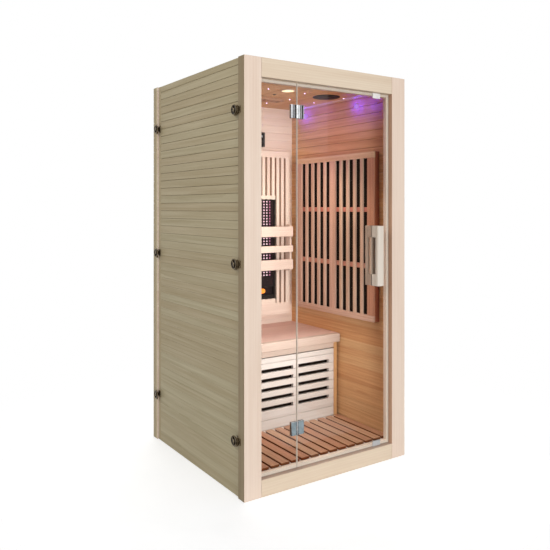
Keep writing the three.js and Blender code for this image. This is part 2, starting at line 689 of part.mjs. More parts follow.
// Base on skids between the walls, and the duckboard on it
function floor() {
  const halfBase = sideInside - SEAT;
  const front = frontInside + SEAT;
  const back = backInside - SEAT;
  const deckBottom = BASE_HEIGHT - BASE_DECK;
  const skid = (x) => block([x - BASE_SKID / 2, front, 0], [x + BASE_SKID / 2, back, deckBottom + EMBED]);
  const skidReach = halfBase - BASE_SKID / 2;
  piece(
    cabin,
    "base_panel",
    joined(
      block([-halfBase, front, deckBottom], [halfBase, back, BASE_HEIGHT]),
      skid(-skidReach),
      skid(0),
      skid(skidReach),
    ),
    innerWood,
  );

  const slatWidth = DUCKBOARD_PITCH - DUCKBOARD_GAP;
  const perSide = Math.floor((halfBase - slatWidth / 2) / DUCKBOARD_PITCH);
  const from = frontInside + DUCKBOARD_FRONT_GAP;
  const to = benchPanelFront - SEAT;
  const battenTop = BASE_HEIGHT + DUCKBOARD_BATTEN;
  const reach = perSide * DUCKBOARD_PITCH + slatWidth / 2;
  const slats = Array.from({ length: 2 * perSide + 1 }, (_, i) => {
    const x = (i - perSide) * DUCKBOARD_PITCH;
    return block([x - slatWidth / 2, from, battenTop - EMBED], [x + slatWidth / 2, to, floorTop]);
  });
  const battens = [from, to - DUCKBOARD_BATTEN_WIDTH].map((y) =>
    block([-reach, y, BASE_HEIGHT], [reach, y + DUCKBOARD_BATTEN_WIDTH, battenTop]),
  );
  piece(cabin, "duckboard", joined(...battens, ...slats), innerWood);
}

// Round ceiling fitting: flange and shallow dome below the ceiling, body through it
function ceilingFitting({ radius, flange, dome, body, depth }) {
  const curve = [0, 1, 2, 3].map((i) => {
    const turn = (i / 4) * (Math.PI / 2);
    return new THREE.Vector2(Math.sin(turn) * (radius - flange), -flange - dome * Math.cos(turn));
  });
  const profile = [
    ...curve,
    new THREE.Vector2(radius - flange, -flange),
    new THREE.Vector2(radius, -flange),
    new THREE.Vector2(radius, -SEAT),
    new THREE.Vector2(body, -SEAT),
    new THREE.Vector2(body, depth),
    new THREE.Vector2(0, depth),
  ];
  return new THREE.LatheGeometry(profile, WIDE_ROUND).rotateX(Math.PI / 2);
}

// Block round the vent's opening, from the ceiling to the roof, wider and taller by the given amounts
function ventBlock(around, beyond) {
  const halfLength = VENT_LENGTH / 2 + around;
  const halfBreadth = VENT_WIDTH / 2 + around;
  return block(
    [VENT_X - halfLength, VENT_Y - halfBreadth, ceilingHeight - beyond],
    [VENT_X + halfLength, VENT_Y + halfBreadth, CABIN_HEIGHT + beyond],
  );
}

function ceiling() {
  const halfCeiling = sideInside - SEAT;
  const front = frontInside + SEAT;
  const back = backInside - SEAT;
  const top = ceilingHeight + CEILING_THICKNESS;
  const roofBottom = CABIN_HEIGHT - ROOF_BOARD;
  const ventHole = ventBlock(VENT_WALL + SEAT, EMBED);

  const joints = [];
  for (let x = CEILING_PITCH / 2; x < halfCeiling - LEAST_BOARD; x += CEILING_PITCH) {
    joints.unshift(-x);
    joints.push(x);
  }
  const boards = outline([
    [halfCeiling, top],
    [-halfCeiling, top],
    [-halfCeiling, ceilingHeight],
    ...joints.flatMap((x) => [
      [x - GROOVE_WIDTH / 2, ceilingHeight],
      [x, ceilingHeight + GROOVE_DEPTH],
      [x + GROOVE_WIDTH / 2, ceilingHeight],
    ]),
    [halfCeiling, ceilingHeight],
  ]);
  const speaker = { ...SPEAKER, x: sideInside - SPEAKER.sideGap };
  const fittingHole = ({ x, y, body }) =>
    roundZ(body + SEAT, [x, y], ceilingHeight - EMBED, top + EMBED, WIDE_ROUND);
  piece(
    cabin,
    "ceiling_panel",
    cut(sweepY(boards, front, back), fittingHole(speaker), fittingHole(LAMP), ventHole),
    innerWood,
  );

  const hollow = block(
    [-halfCeiling + ROOF_BATTEN, front + ROOF_BATTEN, top - EMBED],
    [halfCeiling - ROOF_BATTEN, back - ROOF_BATTEN, roofBottom],
  );
  const lid = block([-halfCeiling, front, top], [halfCeiling, back, CABIN_HEIGHT]);
  piece(cabin, "roof_panel", cut(lid, hollow, ventHole), outerWood);
  piece(cabin, "vent_shaft", cut(ventBlock(VENT_WALL, 0), ventBlock(0, EMBED)), paleWood);

  const { width, depth, topGap, x, y } = POWER_UNIT;
  piece(
    cabin,
    "power_unit",
    block([x - width / 2, y - depth / 2, top], [x + width / 2, y + depth / 2, roofBottom - topGap]),
    blackPlastic,
  );

  for (const [name, fitting, material] of [
    ["ceiling_speaker", speaker, blackPlastic],
    ["ceiling_lamp", LAMP, whitePlastic],
  ]) {
    piece(cabin, name, ceilingFitting(fitting), material).position.set(fitting.x, fitting.y, ceilingHeight);
  }
}

// Sliding vent under the ceiling: a rail each side of the opening, joined at one end, and the slide in them
function vent() {
  const slideHalf = VENT_WIDTH / 2 + VENT_LAP;
  const railInner = slideHalf + SEAT;
  const railOuter = railInner + VENT_RAIL;
  const slideTop = ceilingHeight - SEAT;
  const slideBottom = slideTop - VENT_SLIDE;
  const railBottom = slideBottom - SEAT - VENT_RAIL_LIP;
  const slideEnd = VENT_X + VENT_LENGTH / 2 + VENT_LAP;
  const slideStart = VENT_X - VENT_LENGTH / 2 - VENT_LAP;
  const railEnd = slideEnd + SEAT + VENT_RAIL;
  const railStart = slideStart - VENT_TRAVEL - SEAT;
  const rail = (side) => [
    block(
      [railStart, VENT_Y + side * railInner, railBottom],
      [railEnd, VENT_Y + side * railOuter, ceilingHeight],
    ),
    block(
      [railStart, VENT_Y + side * (railInner - VENT_LAP / 2), railBottom],
      [railEnd, VENT_Y + side * (railInner + EMBED), railBottom + VENT_RAIL_LIP],
    ),
  ];
  const stop = block(
    [slideEnd + SEAT, VENT_Y - railOuter, railBottom],
    [railEnd, VENT_Y + railOuter, ceilingHeight],
  );
  piece(cabin, "vent_rails", joined(...rail(-1), ...rail(1), stop), paleWood);

  const knobX = slideStart + VENT_LAP + VENT_KNOB_RADIUS;
  piece(
    cabin,
    "vent_slide",
    joined(
      block([slideStart, VENT_Y - slideHalf, slideBottom], [slideEnd, VENT_Y + slideHalf, slideTop]),
      roundZ(VENT_KNOB_RADIUS, [knobX, VENT_Y], slideBottom - VENT_KNOB_HEIGHT, slideBottom + EMBED),
    ),
    paleWood,
  );
}

// Bench: seat with nosing and apron, slotted front on the base, corner posts and calf heater
function bench() {
  const halfSeat = sideInside - SEAT;
  const halfNosing = sideInside - BENCH_NOSING_SIDE_GAP;
  const nosingBack = benchFront + BENCH_NOSING_DEPTH;
  const apronBack = benchPanelFront + BENCH_APRON_DEPTH;
  const ease = BENCH_NOSING_EASE;
  const nosing = new THREE.Shape();
  nosing.moveTo(nosingBack, benchNosingBottom);
  nosing.lineTo(nosingBack, BENCH_HEIGHT);
  nosing.absarc(benchFront + ease, BENCH_HEIGHT - ease, ease, Math.PI / 2, Math.PI, false);
  nosing.absarc(benchFront + ease, benchNosingBottom + ease, ease, Math.PI, 1.5 * Math.PI, false);
  nosing.closePath();
  piece(
    cabin,
    "bench_seat",
    joined(
      block([-halfSeat, nosingBack - EMBED, benchSeatBottom], [halfSeat, backInside - SEAT, BENCH_HEIGHT]),
      sweepX(nosing, -halfNosing, halfNosing),
      block(
        [-benchPostInner, benchPanelFront, benchApronBottom],
        [benchPostInner, apronBack, benchNosingBottom + EMBED],
      ),
    ),
    paleWood,
  );

  const halfPanel = benchPostInner - SEAT;
  const section = boardSection(
    benchPanelBack, benchPanelFront, BASE_HEIGHT, benchPanelTop,
    BENCH_SLOT_PITCH, benchPanelTop - benchLowestSlot - BENCH_SLOT_ROWS * BENCH_SLOT_PITCH,
  );
  const clear = 2 * (halfPanel - BENCH_END_STILE) - (BENCH_SLOT_COLUMNS - 1) * BENCH_MULLION;
  const slotWidth = clear / BENCH_SLOT_COLUMNS;
  const slots = [];
  for (let column = 0; column < BENCH_SLOT_COLUMNS; column += 1) {
    const left = -halfPanel + BENCH_END_STILE + column * (slotWidth + BENCH_MULLION);
    for (let row = 0; row < BENCH_SLOT_ROWS; row += 1) {
      const bottom = benchLowestSlot + row * BENCH_SLOT_PITCH;
      slots.push(
        block(
          [left, benchPanelFront - EMBED, bottom],
          [left + slotWidth, benchPanelBack + EMBED, bottom + BENCH_SLOT_HEIGHT],
        ),
      );
    }
  }
  piece(cabin, "bench_front_grille", cut(sweepX(section, -halfPanel, halfPanel), ...slots), paleWood);

  for (const [name, side] of Object.entries(SIDES)) {
    piece(
      cabin,
      `bench_${name}_post`,
      block(
        [side * (benchPostInner + SEAT), benchPanelFront, BASE_HEIGHT],
        [side * benchPostOuter, benchPanelFront + BENCH_POST_DEPTH, benchNosingBottom],
      ),
      paleWood,
    );
  }

  // Heater panel behind the slots, held off the grille by a spacer at each corner
  const { thickness, standoff, spacer, inset } = BENCH_HEATER;
  const heaterHalf = halfPanel - inset;
  const heaterBottom = benchLowestSlot - inset;
  const heaterTop = benchLowestSlot + (BENCH_SLOT_ROWS - 1) * BENCH_SLOT_PITCH + BENCH_SLOT_HEIGHT + inset;
  const heaterFront = benchPanelBack + SEAT + standoff;
  const spacers = [-heaterHalf, heaterHalf - spacer].flatMap((x) =>
    [heaterBottom, heaterTop - spacer].map((z) =>
      block([x, benchPanelBack + SEAT, z], [x + spacer, heaterFront + EMBED, z + spacer]),
    ),
  );
  piece(
    cabin,
    "bench_heater",
    joined(
      block([-heaterHalf, heaterFront, heaterBottom], [heaterHalf, heaterFront + thickness, heaterTop]),
      ...spacers,
    ),
    carbon,
  );
}

// Heater grille on a side wall: a box open to the wall, slotted face, crossbars behind the slats
function sideHeaters() {
  const wall = sideInside - SEAT;
  const shell = cut(
    block([grilleFace, grilleFront, grilleBottom], [wall, grilleBack, grilleTop]),
    block(
      [grilleFace + GRILLE_FACE, grilleFront + GRILLE_WALL, grilleBottom + GRILLE_WALL],
      [wall + EMBED, grilleBack - GRILLE_WALL, grilleTop - GRILLE_WALL],
    ),
  );
  const middle = (grilleFront + grilleBack) / 2;
  const halfLength = (grilleBack - grilleFront) / 2;
  const clear = halfLength - GRILLE_STILE - GRILLE_STILE / 2;
  const slotWidth = (clear - (GRILLE_SLOTS - 1) * GRILLE_SLAT) / GRILLE_SLOTS;
  const slots = [];
  for (const start of [grilleFront + GRILLE_STILE, middle + GRILLE_STILE / 2]) {
    for (let i = 0; i < GRILLE_SLOTS; i += 1) {
      const y = start + i * (slotWidth + GRILLE_SLAT);
      slots.push(
        block(
          [grilleFace - EMBED, y, grilleBottom + GRILLE_RAIL],
          [grilleFace + GRILLE_FACE + EMBED, y + slotWidth, grilleTop - GRILLE_RAIL],
        ),
      );
    }
  }
  const crossbars = GRILLE_CROSSBAR_RISES.map((rise) => {
    const height = grilleBottom + rise;
    return block(
      [grilleFace + GRILLE_FACE - EMBED, grilleFront + GRILLE_WALL - EMBED, height - GRILLE_CROSSBAR / 2],
      [grilleFace + 2 * GRILLE_FACE, grilleBack - GRILLE_WALL + EMBED, height + GRILLE_CROSSBAR / 2],
    );
  });
  const grille = joined(cut(shell, ...slots), ...crossbars);
  const edge = GRILLE_WALL + HEATER_GAP;
  const heater = block(
    [wall - HEATER_THICKNESS, grilleFront + edge, grilleBottom + edge],
    [wall, grilleBack - edge, grilleTop - edge],
  );
  for (const [name, side] of Object.entries(SIDES)) {
    piece(cabin, `${name}_heater_grille`, grille, innerWood).scale.x = side;
    piece(cabin, `${name}_heater`, heater, carbon).scale.x = side;
  }
}

// Back grille with a window for each light unit, the units, and the backrest in front
function backFittings() {
  const wall = backInside - SEAT;
  const half = backGrilleHalf;
  const slotBottom = backGrilleBottom + BACK_GRILLE_RAIL_BOTTOM;
  const slotTop = backGrilleTop - BACK_GRILLE_RAIL_TOP;
  const shell = cut(
    block([-half, backGrilleFace, backGrilleBottom], [half, wall, backGrilleTop]),
    block(
      [-half + GRILLE_WALL, backGrilleFace + GRILLE_FACE, backGrilleBottom + GRILLE_WALL],
      [half - GRILLE_WALL, wall + EMBED, backGrilleTop - GRILLE_WALL],
    ),
  );
  const windowHalf = LIGHT_WIDTH / 2 + LIGHT_GAP;
  const windows = Object.values(SIDES).map((side) => ({
    left: side * lightMiddle - windowHalf,
    right: side * lightMiddle + windowHalf,
  }));
  const openings = windows.map(({ left, right }) =>
    block(
      [left, backGrilleFace - EMBED, lightBottom - LIGHT_GAP],
      [right, backGrilleFace + GRILLE_FACE + EMBED, lightTop + LIGHT_GAP],
    ),
  );
  const slotPitch = BACK_GRILLE_SLAT + BACK_GRILLE_GAP;
  const perSide = Math.floor((half - GRILLE_WALL - BACK_GRILLE_GAP / 2) / slotPitch);
  const slots = [];
  for (let i = -perSide; i <= perSide; i += 1) {
    const left = i * slotPitch - BACK_GRILLE_GAP / 2;
    const right = left + BACK_GRILLE_GAP;
    const aboveWindow = windows.some((window) => left > window.left && right < window.right);
    const beside = (gap) => gap >= 0 && gap < BACK_GRILLE_SLAT / 2;
    const leftOf = windows.find((window) => beside(window.left - right));
    const rightOf = windows.find((window) => beside(left - window.right));
    const from = rightOf ? rightOf.right - EMBED : left;
    const to = leftOf ? leftOf.left + EMBED : right;
    const bottom = aboveWindow ? lightTop + LIGHT_GAP + BACK_GRILLE_SLAT : slotBottom;
    slots.push(
      block([from, backGrilleFace - EMBED, bottom], [to, backGrilleFace + GRILLE_FACE + EMBED, slotTop]),
    );
  }
  piece(cabin, "back_grille", cut(shell, ...openings, ...slots), paleWood);

  // Light unit: a rimmed face for the lamps above, a well with a glowing tube below
  const unitFace = backGrilleFace + LIGHT_SETBACK;
  const wellHalf = LIGHT_WIDTH / 2 - LIGHT_RIM;
  const wellBottom = emitterHeight - EMITTER_WELL_HEIGHT / 2;
  const wellTop = emitterHeight + EMITTER_WELL_HEIGHT / 2;
  const unit = joined(
    cut(
      block([-LIGHT_WIDTH / 2, unitFace, lightBottom], [LIGHT_WIDTH / 2, wall, lightTop]),
      block(
        [-wellHalf, unitFace - EMBED, wellTop + LIGHT_RIM],
        [wellHalf, unitFace + LIGHT_RECESS, lightTop - LIGHT_RIM],
      ),
      block([-wellHalf, unitFace - EMBED, wellBottom], [wellHalf, unitFace + EMITTER_WELL_DEPTH, wellTop]),
    ),
    roundX(
      EMITTER_RADIUS,
      [unitFace + EMITTER_WELL_DEPTH / 2, emitterHeight],
      -wellHalf - EMBED,
      wellHalf + EMBED,
    ),
  );
  for (const [name, side] of Object.entries(SIDES)) {
    piece(cabin, `${name}_light_unit`, unit, blackPlastic).position.x = side * lightMiddle;
  }

  const restFace = backGrilleFace - BACKREST_STANDOFF;
  const restHalf = half - BACKREST_END_GAP;
  const boards = BACKREST_BOARDS.map(([low, high]) =>
    block(
      [-restHalf, restFace, BENCH_HEIGHT + low],
      [restHalf, restFace + BACKREST_BOARD, BENCH_HEIGHT + high],
    ),
  );
  const edges = BACKREST_BOARDS.flat();
  const lowest = BENCH_HEIGHT + Math.min(...edges) - BACKREST_UPRIGHT_OVERRUN;
  const highest = BENCH_HEIGHT + Math.max(...edges) + BACKREST_UPRIGHT_OVERRUN;
  const uprights = [-1, 0, 1].map((place) => {
    const x = place * (restHalf - BACKREST_UPRIGHT_INSET);
    return block(
      [x - BACKREST_UPRIGHT_WIDTH / 2, restFace + BACKREST_BOARD - EMBED, lowest],
      [x + BACKREST_UPRIGHT_WIDTH / 2, backGrilleFace - SEAT, highest],
    );
  });
  piece(cabin, "backrest", joined(...boards, ...uprights), paleWood);
}

// Control panel on the back wall, and two small colour lamps high on the right wall
function controls() {
  const { x, width, rise, height, depth, bezel, recess } = CONTROL;
  const wall = backInside - SEAT;
  const bottom = backGrilleTop + rise;
  piece(
    cabin,
    "control_panel",
    cut(
      block([x - width / 2, wall - depth, bottom], [x + width / 2, wall, bottom + height]),
      block(
        [x - width / 2 + bezel, wall - depth - EMBED, bottom + bezel],
        [x + width / 2 - bezel, wall - depth + recess, bottom + height - bezel],
      ),
    ),
    blackPlastic,
  );

  const profile = [
    [0, 0],
    [COLOUR_LAMP.radius, 0],
    [COLOUR_LAMP.radius, COLOUR_LAMP.depth],
    [COLOUR_LAMP.radius * Math.SQRT1_2, COLOUR_LAMP.depth + COLOUR_LAMP.dome * Math.SQRT1_2],
    [0, COLOUR_LAMP.depth + COLOUR_LAMP.dome],
  ].map(([radius, rise]) => new THREE.Vector2(radius, rise));
  const lamp = new THREE.LatheGeometry(profile, ROUND).rotateZ(Math.PI / 2);
  for (const [name, y] of Object.entries(COLOUR_LAMP.places)) {
    const mesh = piece(cabin, `${name}_colour_lamp`, lamp, whitePlastic);
    mesh.position.set(sideInside - SEAT, y, ceilingHeight - COLOUR_LAMP.drop);
  }
}

floor();
sideWalls();
backWall();
frontFrame();
fixedPane();
door();
latches();
ceiling();
vent();
bench();
sideHeaters();
backFittings();
controls();

export default cabin;
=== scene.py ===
"""Looks of a one-person infrared sauna cabin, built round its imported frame.

Metres, +Z up, the glass front towards -Y. Wooden pieces are made board by board: each board carries a grain
direction and a tone of its own, which the wood materials read.
"""

import json
import math
import random

import bmesh
import bpy
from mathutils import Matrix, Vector


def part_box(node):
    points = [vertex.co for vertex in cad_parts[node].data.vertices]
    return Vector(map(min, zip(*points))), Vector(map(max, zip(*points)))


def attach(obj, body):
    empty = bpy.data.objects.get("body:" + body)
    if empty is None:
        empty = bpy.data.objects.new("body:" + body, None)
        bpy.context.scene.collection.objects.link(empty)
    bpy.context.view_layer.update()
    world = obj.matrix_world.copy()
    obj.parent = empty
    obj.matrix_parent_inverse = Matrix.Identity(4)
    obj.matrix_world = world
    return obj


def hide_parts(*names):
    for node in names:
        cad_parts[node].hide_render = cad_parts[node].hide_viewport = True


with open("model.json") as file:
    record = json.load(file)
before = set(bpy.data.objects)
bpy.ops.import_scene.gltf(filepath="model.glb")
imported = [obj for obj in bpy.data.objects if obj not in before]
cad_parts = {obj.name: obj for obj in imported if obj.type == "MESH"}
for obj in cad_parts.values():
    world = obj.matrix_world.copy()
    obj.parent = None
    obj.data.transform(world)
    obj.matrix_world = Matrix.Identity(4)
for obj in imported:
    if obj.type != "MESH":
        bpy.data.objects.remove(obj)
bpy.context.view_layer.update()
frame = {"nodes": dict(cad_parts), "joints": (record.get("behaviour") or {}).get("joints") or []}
rng = random.Random(11)

# Sizes that the frame's boxes don't give
SEAT = 0.0003
PANEL = 0.05
BOARD = 0.012
OUTER_PITCH = 0.0397
OUTER_TOP_BOARD = 0.031
LINING_PITCH = 0.045
LINING_TOP_BOARD = 0.02
CEILING_PITCH = 0.09
EDGE_BATTEN = 0.026
STUD = 0.04
LIP = 0.015
LIP_DEPTH = 0.02
JOINT_GAP = 0.0004
WALL_GAP = 0.0012
BOARD_EASE = 0.0018
TIGHT_GAP = 0.0003
TIGHT_EASE = 0.0008
FRAME_EASE = 0.0016
SLAT_EASE = 0.0015

# Places read from the frame
BACK_LOW, BACK_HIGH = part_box("back_wall_cladding")
CEILING_LOW, CEILING_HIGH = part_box("ceiling_panel")
RAIL_LOW, RAIL_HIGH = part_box("front_top_rail")
SILL_LOW, SILL_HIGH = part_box("front_bottom_rail")
CABIN_HALF = BACK_HIGH.x
CABIN_TOP = BACK_HIGH.z
CABIN_BACK = BACK_HIGH.y
SIDE_INSIDE = CEILING_HIGH.x + SEAT
SIDE_OUTSIDE = SIDE_INSIDE + PANEL
FRONT_INSIDE = CEILING_LOW.y - SEAT
BACK_INSIDE = CEILING_HIGH.y + SEAT
FRONT_FACE = RAIL_LOW.y
OPENING_HALF = RAIL_HIGH.x
OPENING_TOP = RAIL_LOW.z + LIP
OPENING_BOTTOM = SILL_HIGH.z - LIP
LIP_FACE = FRONT_INSIDE - LIP_DEPTH
CEILING = CEILING_LOW.z
JOINTS = {joint["name"]: joint for joint in frame["joints"]}


def srgb(red, green, blue):
    """Linear colour of a screen colour given as 0 to 255."""
    def linear(value):
        value /= 255
        return value / 12.92 if value <= 0.04045 else ((value + 0.055) / 1.055) ** 2.4

    return (linear(red), linear(green), linear(blue), 1)


class Tree:
    """Nodes of a new material, round its Principled shader."""

    def __init__(self, name):
        self.material = bpy.data.materials.new(name)
        self.material.use_nodes = True
        self.nodes = self.material.node_tree.nodes
        self.links = self.material.node_tree.links
        self.shader = self.nodes["Principled BSDF"]

    def put(self, socket, value):
        if isinstance(value, bpy.types.NodeSocket):
            self.links.new(value, socket)
        else:
            socket.default_value = value

    def add(self, kind, inputs=None, **settings):
        made = self.nodes.new("ShaderNode" + kind)
        for name, value in settings.items():
            setattr(made, name, value)
        for name, value in (inputs or {}).items():
            self.put(made.inputs[name], value)
        return made

    def set(self, **inputs):
        for name, value in inputs.items():
            self.put(self.shader.inputs[name.replace("_", " ")], value)

    def stretched(self, vector, scale):
        return self.add("VectorMath", {0: vector, 1: scale}, operation="MULTIPLY").outputs[0]

    def noise(self, vector, scale=1.0, detail=2.0, roughness=0.5):
        inputs = {"Vector": vector, "Scale": scale, "Detail": detail, "Roughness": roughness}
        return self.add("TexNoise", inputs).outputs["Fac"]

    def sum(self, *weighted):
        """Weighted sum of sockets, given as (socket, weight)."""
        total = 0.0
        for socket, weight in weighted:
            total = self.add("Math", {0: socket, 1: weight, 2: total}, operation="MULTIPLY_ADD").outputs[0]
        return total

    def ramp(self, factor, *stops):
        made = self.add("ValToRGB", {"Fac": factor})
        elements = made.color_ramp.elements
        while len(elements) < len(stops):
            elements.new(1)
        for element, (place, colour) in zip(elements, stops):
            element.position = place
            element.color = colour
        return made.outputs["Color"]

    def span(self, value, low, high):
        """A 0 to 1 value spread from low to high."""
        return self.add("MapRange", {"Value": value, "To Min": low, "To Max": high}).outputs["Result"]

    def bump(self, height, strength, distance):
        inputs = {"Height": height, "Strength": strength, "Distance": distance}
        self.set(Normal=self.add("Bump", inputs).outputs["Normal"])


def wood(name, pale, deep, ring_gap=0.011, ring_share=0.5, tone_spread=0.16, roughness=0.52):
    """Planed softwood: growth rings about a pith off the board, streaks, fine fibres and a tone for each board."""
    tree = Tree(name)
    grain = tree.add("Attribute", attribute_name="grain").outputs["Vector"]
    tone = tree.add("Attribute", attribute_name="tone").outputs["Fac"]
    rings = tree.add(
        "TexWave",
        {
            "Vector": tree.stretched(grain, (0.06, 1, 1)),
            "Scale": 0.314 / ring_gap,
            "Distortion": 4.5,
            "Detail": 3,
            "Detail Scale": 0.9,
            "Detail Roughness": 0.55,
        },
        wave_type="RINGS",
        rings_direction="X",
        wave_profile="SAW",
    ).outputs["Fac"]
    fibres = tree.noise(tree.stretched(grain, (9, 420, 420)), detail=3, roughness=0.6)
    streaks = tree.noise(tree.stretched(grain, (1.6, 60, 60)), detail=4, roughness=0.6)
    clouds = tree.noise(tree.stretched(grain, (2.2, 9, 9)), detail=2)
    mixed = tree.sum((rings, 0.34 * ring_share), (streaks, 0.62), (fibres, 0.22), (clouds, 0.3))
    middle = tuple((a + b) / 2 for a, b in zip(pale, deep))
    coloured = tree.ramp(mixed, (0.42, pale), (0.66, middle), (0.92, deep))
    shade = tree.add(
        "HueSaturation",
        {
            "Color": coloured,
            "Hue": tree.span(tone, 0.494, 0.506),
            "Saturation": tree.span(tone, 1.06, 0.94),
            "Value": tree.span(tone, 1 - tone_spread / 2, 1 + tone_spread / 2),
        },
    ).outputs["Color"]
    tree.set(Base_Color=shade, Roughness=tree.span(streaks, roughness - 0.08, roughness + 0.14))
    tree.set(Specular_IOR_Level=0.35)
    tree.bump(tree.sum((fibres, 0.6), (streaks, 0.3), (rings, 0.15)), 0.22, 0.0006)
    return tree.material


def own_place(tree):
    """Coordinates of a piece in the cabin's frame, for materials that need no board."""
    return tree.add("TexCoord").outputs["Object"]


def clear_glass():
    """Clear glass that lets lamps through."""
    tree = Tree("clear_glass")
    tree.set(Base_Color=(0.985, 0.994, 0.988, 1), Roughness=0.0, IOR=1.45, Transmission_Weight=1.0)
    smears = tree.noise(tree.stretched(own_place(tree), (3, 3, 1.4)), detail=4)
    tree.put(tree.shader.inputs["Roughness"], tree.span(smears, 0.0, 0.02))
    clear = tree.add("BsdfTransparent", {"Color": (0.985, 0.994, 0.988, 1)}).outputs[0]
    shadow = tree.add("LightPath").outputs["Is Shadow Ray"]
    mixed = tree.add("MixShader", {0: shadow, 1: tree.shader.outputs[0], 2: clear}).outputs[0]
    tree.put(tree.nodes["Material Output"].inputs["Surface"], mixed)
    return tree.material


def glass_edge():
    """Ground edge of the glass, pale green, with a painted glow."""
    tree = Tree("glass_edge")
    mottle = tree.noise(tree.stretched(own_place(tree), (90, 90, 12)), detail=3)
    tree.set(Base_Color=tree.ramp(mottle, (0.3, srgb(190, 184, 172)), (0.75, srgb(220, 216, 206))))
    tree.set(Roughness=0.28, IOR=1.45, Specular_IOR_Level=0.6)
    # Painted glow: the edge gives a little light though it is no lamp
    tree.set(Emission_Color=(1, 0.88, 0.78, 1), Emission_Strength=0.13)
    tree.bump(mottle, 0.1, 0.0004)
    return tree.material


def polished_metal(name, colour, low, high, scale=(40, 40, 400), bump=0.03):
    """Polished or brushed metal with fine lines that change its gloss."""
    tree = Tree(name)
    lines = tree.noise(tree.stretched(own_place(tree), scale), detail=3, roughness=0.6)
    blotches = tree.noise(own_place(tree), scale=35, detail=3)
    dull = tuple(0.82 * c for c in colour[:3]) + (1,)
    tree.set(Base_Color=tree.ramp(blotches, (0.35, dull), (0.65, colour)), Metallic=1.0)
    tree.set(Roughness=tree.span(lines, low, high))
    tree.bump(lines, bump, 0.0002)
    return tree.material


def aged_bronze():
    """Dark bronze with a blotched patina, rubbed bright on its edges."""
    tree = Tree("aged_bronze")
    blotches = tree.noise(own_place(tree), scale=260, detail=4, roughness=0.6)
    skin = tree.ramp(blotches, (0.3, srgb(22, 18, 14)), (0.7, srgb(58, 48, 36)))
    edge = tree.add("NewGeometry").outputs["Pointiness"]
    rub = tree.add("MapRange", {"Value": edge, "From Min": 0.52, "From Max": 0.6}).outputs["Result"]
    worn = tree.add("Mix", {"Factor": rub, "A": skin, "B": srgb(168, 150, 120)}, data_type="RGBA")
    tree.set(Base_Color=worn.outputs["Result"], Metallic=0.9)
    tree.set(Roughness=tree.span(blotches, 0.14, 0.34))
    tree.bump(blotches, 0.12, 0.0003)
    return tree.material


def plastic(name, colour, low, high, scale=900, bump=0.1):
    """Moulded plastic with a fine grain."""
    tree = Tree(name)
    grain = tree.noise(own_place(tree), scale=scale, detail=2)
    hue = tree.noise(own_place(tree), scale=14, detail=3)
    dark = tuple(0.78 * c for c in colour[:3]) + (1,)
    tree.set(Base_Color=tree.ramp(hue, (0.3, dark), (0.7, colour)), Roughness=tree.span(hue, low, high))
    tree.bump(grain, bump, 0.0002)
    return tree.material


def carbon_film():
    """Black heater film with faint crossed fibres."""
    tree = Tree("carbon_film")
    place = own_place(tree)
    warp = tree.noise(tree.stretched(place, (30, 30, 900)), detail=2)
    weft = tree.noise(tree.stretched(place, (900, 900, 30)), detail=2)
    weave = tree.sum((warp, 0.5), (weft, 0.5))
    tree.set(Base_Color=tree.ramp(weave, (0.35, srgb(12, 5, 2)), (0.7, srgb(34, 18, 10))))
    tree.set(Roughness=tree.span(weave, 0.5, 0.7), Specular_IOR_Level=0.12)
    tree.bump(weave, 0.2, 0.0003)
    return tree.material


def glowing(name, colour, strength, body=(0.9, 0.88, 0.84, 1)):
    """A lens or lamp face that gives light, a little uneven."""
    tree = Tree(name)
    haze = tree.noise(own_place(tree), scale=180, detail=2)
    tree.set(Base_Color=tree.ramp(haze, (0.2, tuple(0.8 * c for c in body[:3]) + (1,)), (0.8, body)))
    tree.set(Roughness=0.25, Emission_Color=colour, Emission_Strength=strength)
    return tree.material


OUTER_WOOD = wood("outer_wood", srgb(207, 192, 158), srgb(178, 161, 124), ring_gap=0.016, tone_spread=0.08)
# Outer side faces of the front posts: the outer boards' colour, made darker as painted shade
POST_SIDE_SHADE_WOOD = wood("post_side_wood", srgb(172, 153, 122), srgb(148, 127, 96), tone_spread=0.05)
# Inner reveals of the opening: darker brown as painted shade
REVEAL_SHADE_WOOD = wood("reveal_wood", srgb(216, 174, 146), srgb(192, 150, 122), tone_spread=0.05)
FRONT_RAIL_WOOD = wood("front_rail_wood", srgb(235, 220, 198), srgb(220, 200, 175), tone_spread=0.05)
# Lips behind the glass: nearly white, paler than the wood really is, as a painted highlight
LIP_HIGHLIGHT_WOOD = wood("lip_wood", srgb(252, 238, 226), srgb(242, 224, 208), tone_spread=0.05)
# Top face of the sill in front of the glass: darker as painted shade
SILL_SHADE_WOOD = wood("sill_wood", srgb(190, 168, 152), srgb(172, 149, 133), tone_spread=0.05)
FRONT_WOOD = wood("front_wood", srgb(240, 221, 205), srgb(225, 201, 182), tone_spread=0.14, ring_share=0.35)
INNER_WOOD = wood("inner_wood", srgb(231, 187, 137), srgb(191, 139, 94), tone_spread=0.1)
FLOOR_WOOD = wood("floor_wood", srgb(198, 153, 123), srgb(156, 112, 84), tone_spread=0.12)
# Dark strips behind the gaps of the back grille: painted shade
SLOT_SHADE_WOOD = wood("slot_wood", srgb(128, 94, 70), srgb(100, 70, 50), tone_spread=0.05)
# Sides of the duckboard slats in the gaps: darker as painted shade
GAP_SHADE_WOOD = wood("gap_wood", srgb(128, 72, 38), srgb(98, 52, 26), tone_spread=0.05)
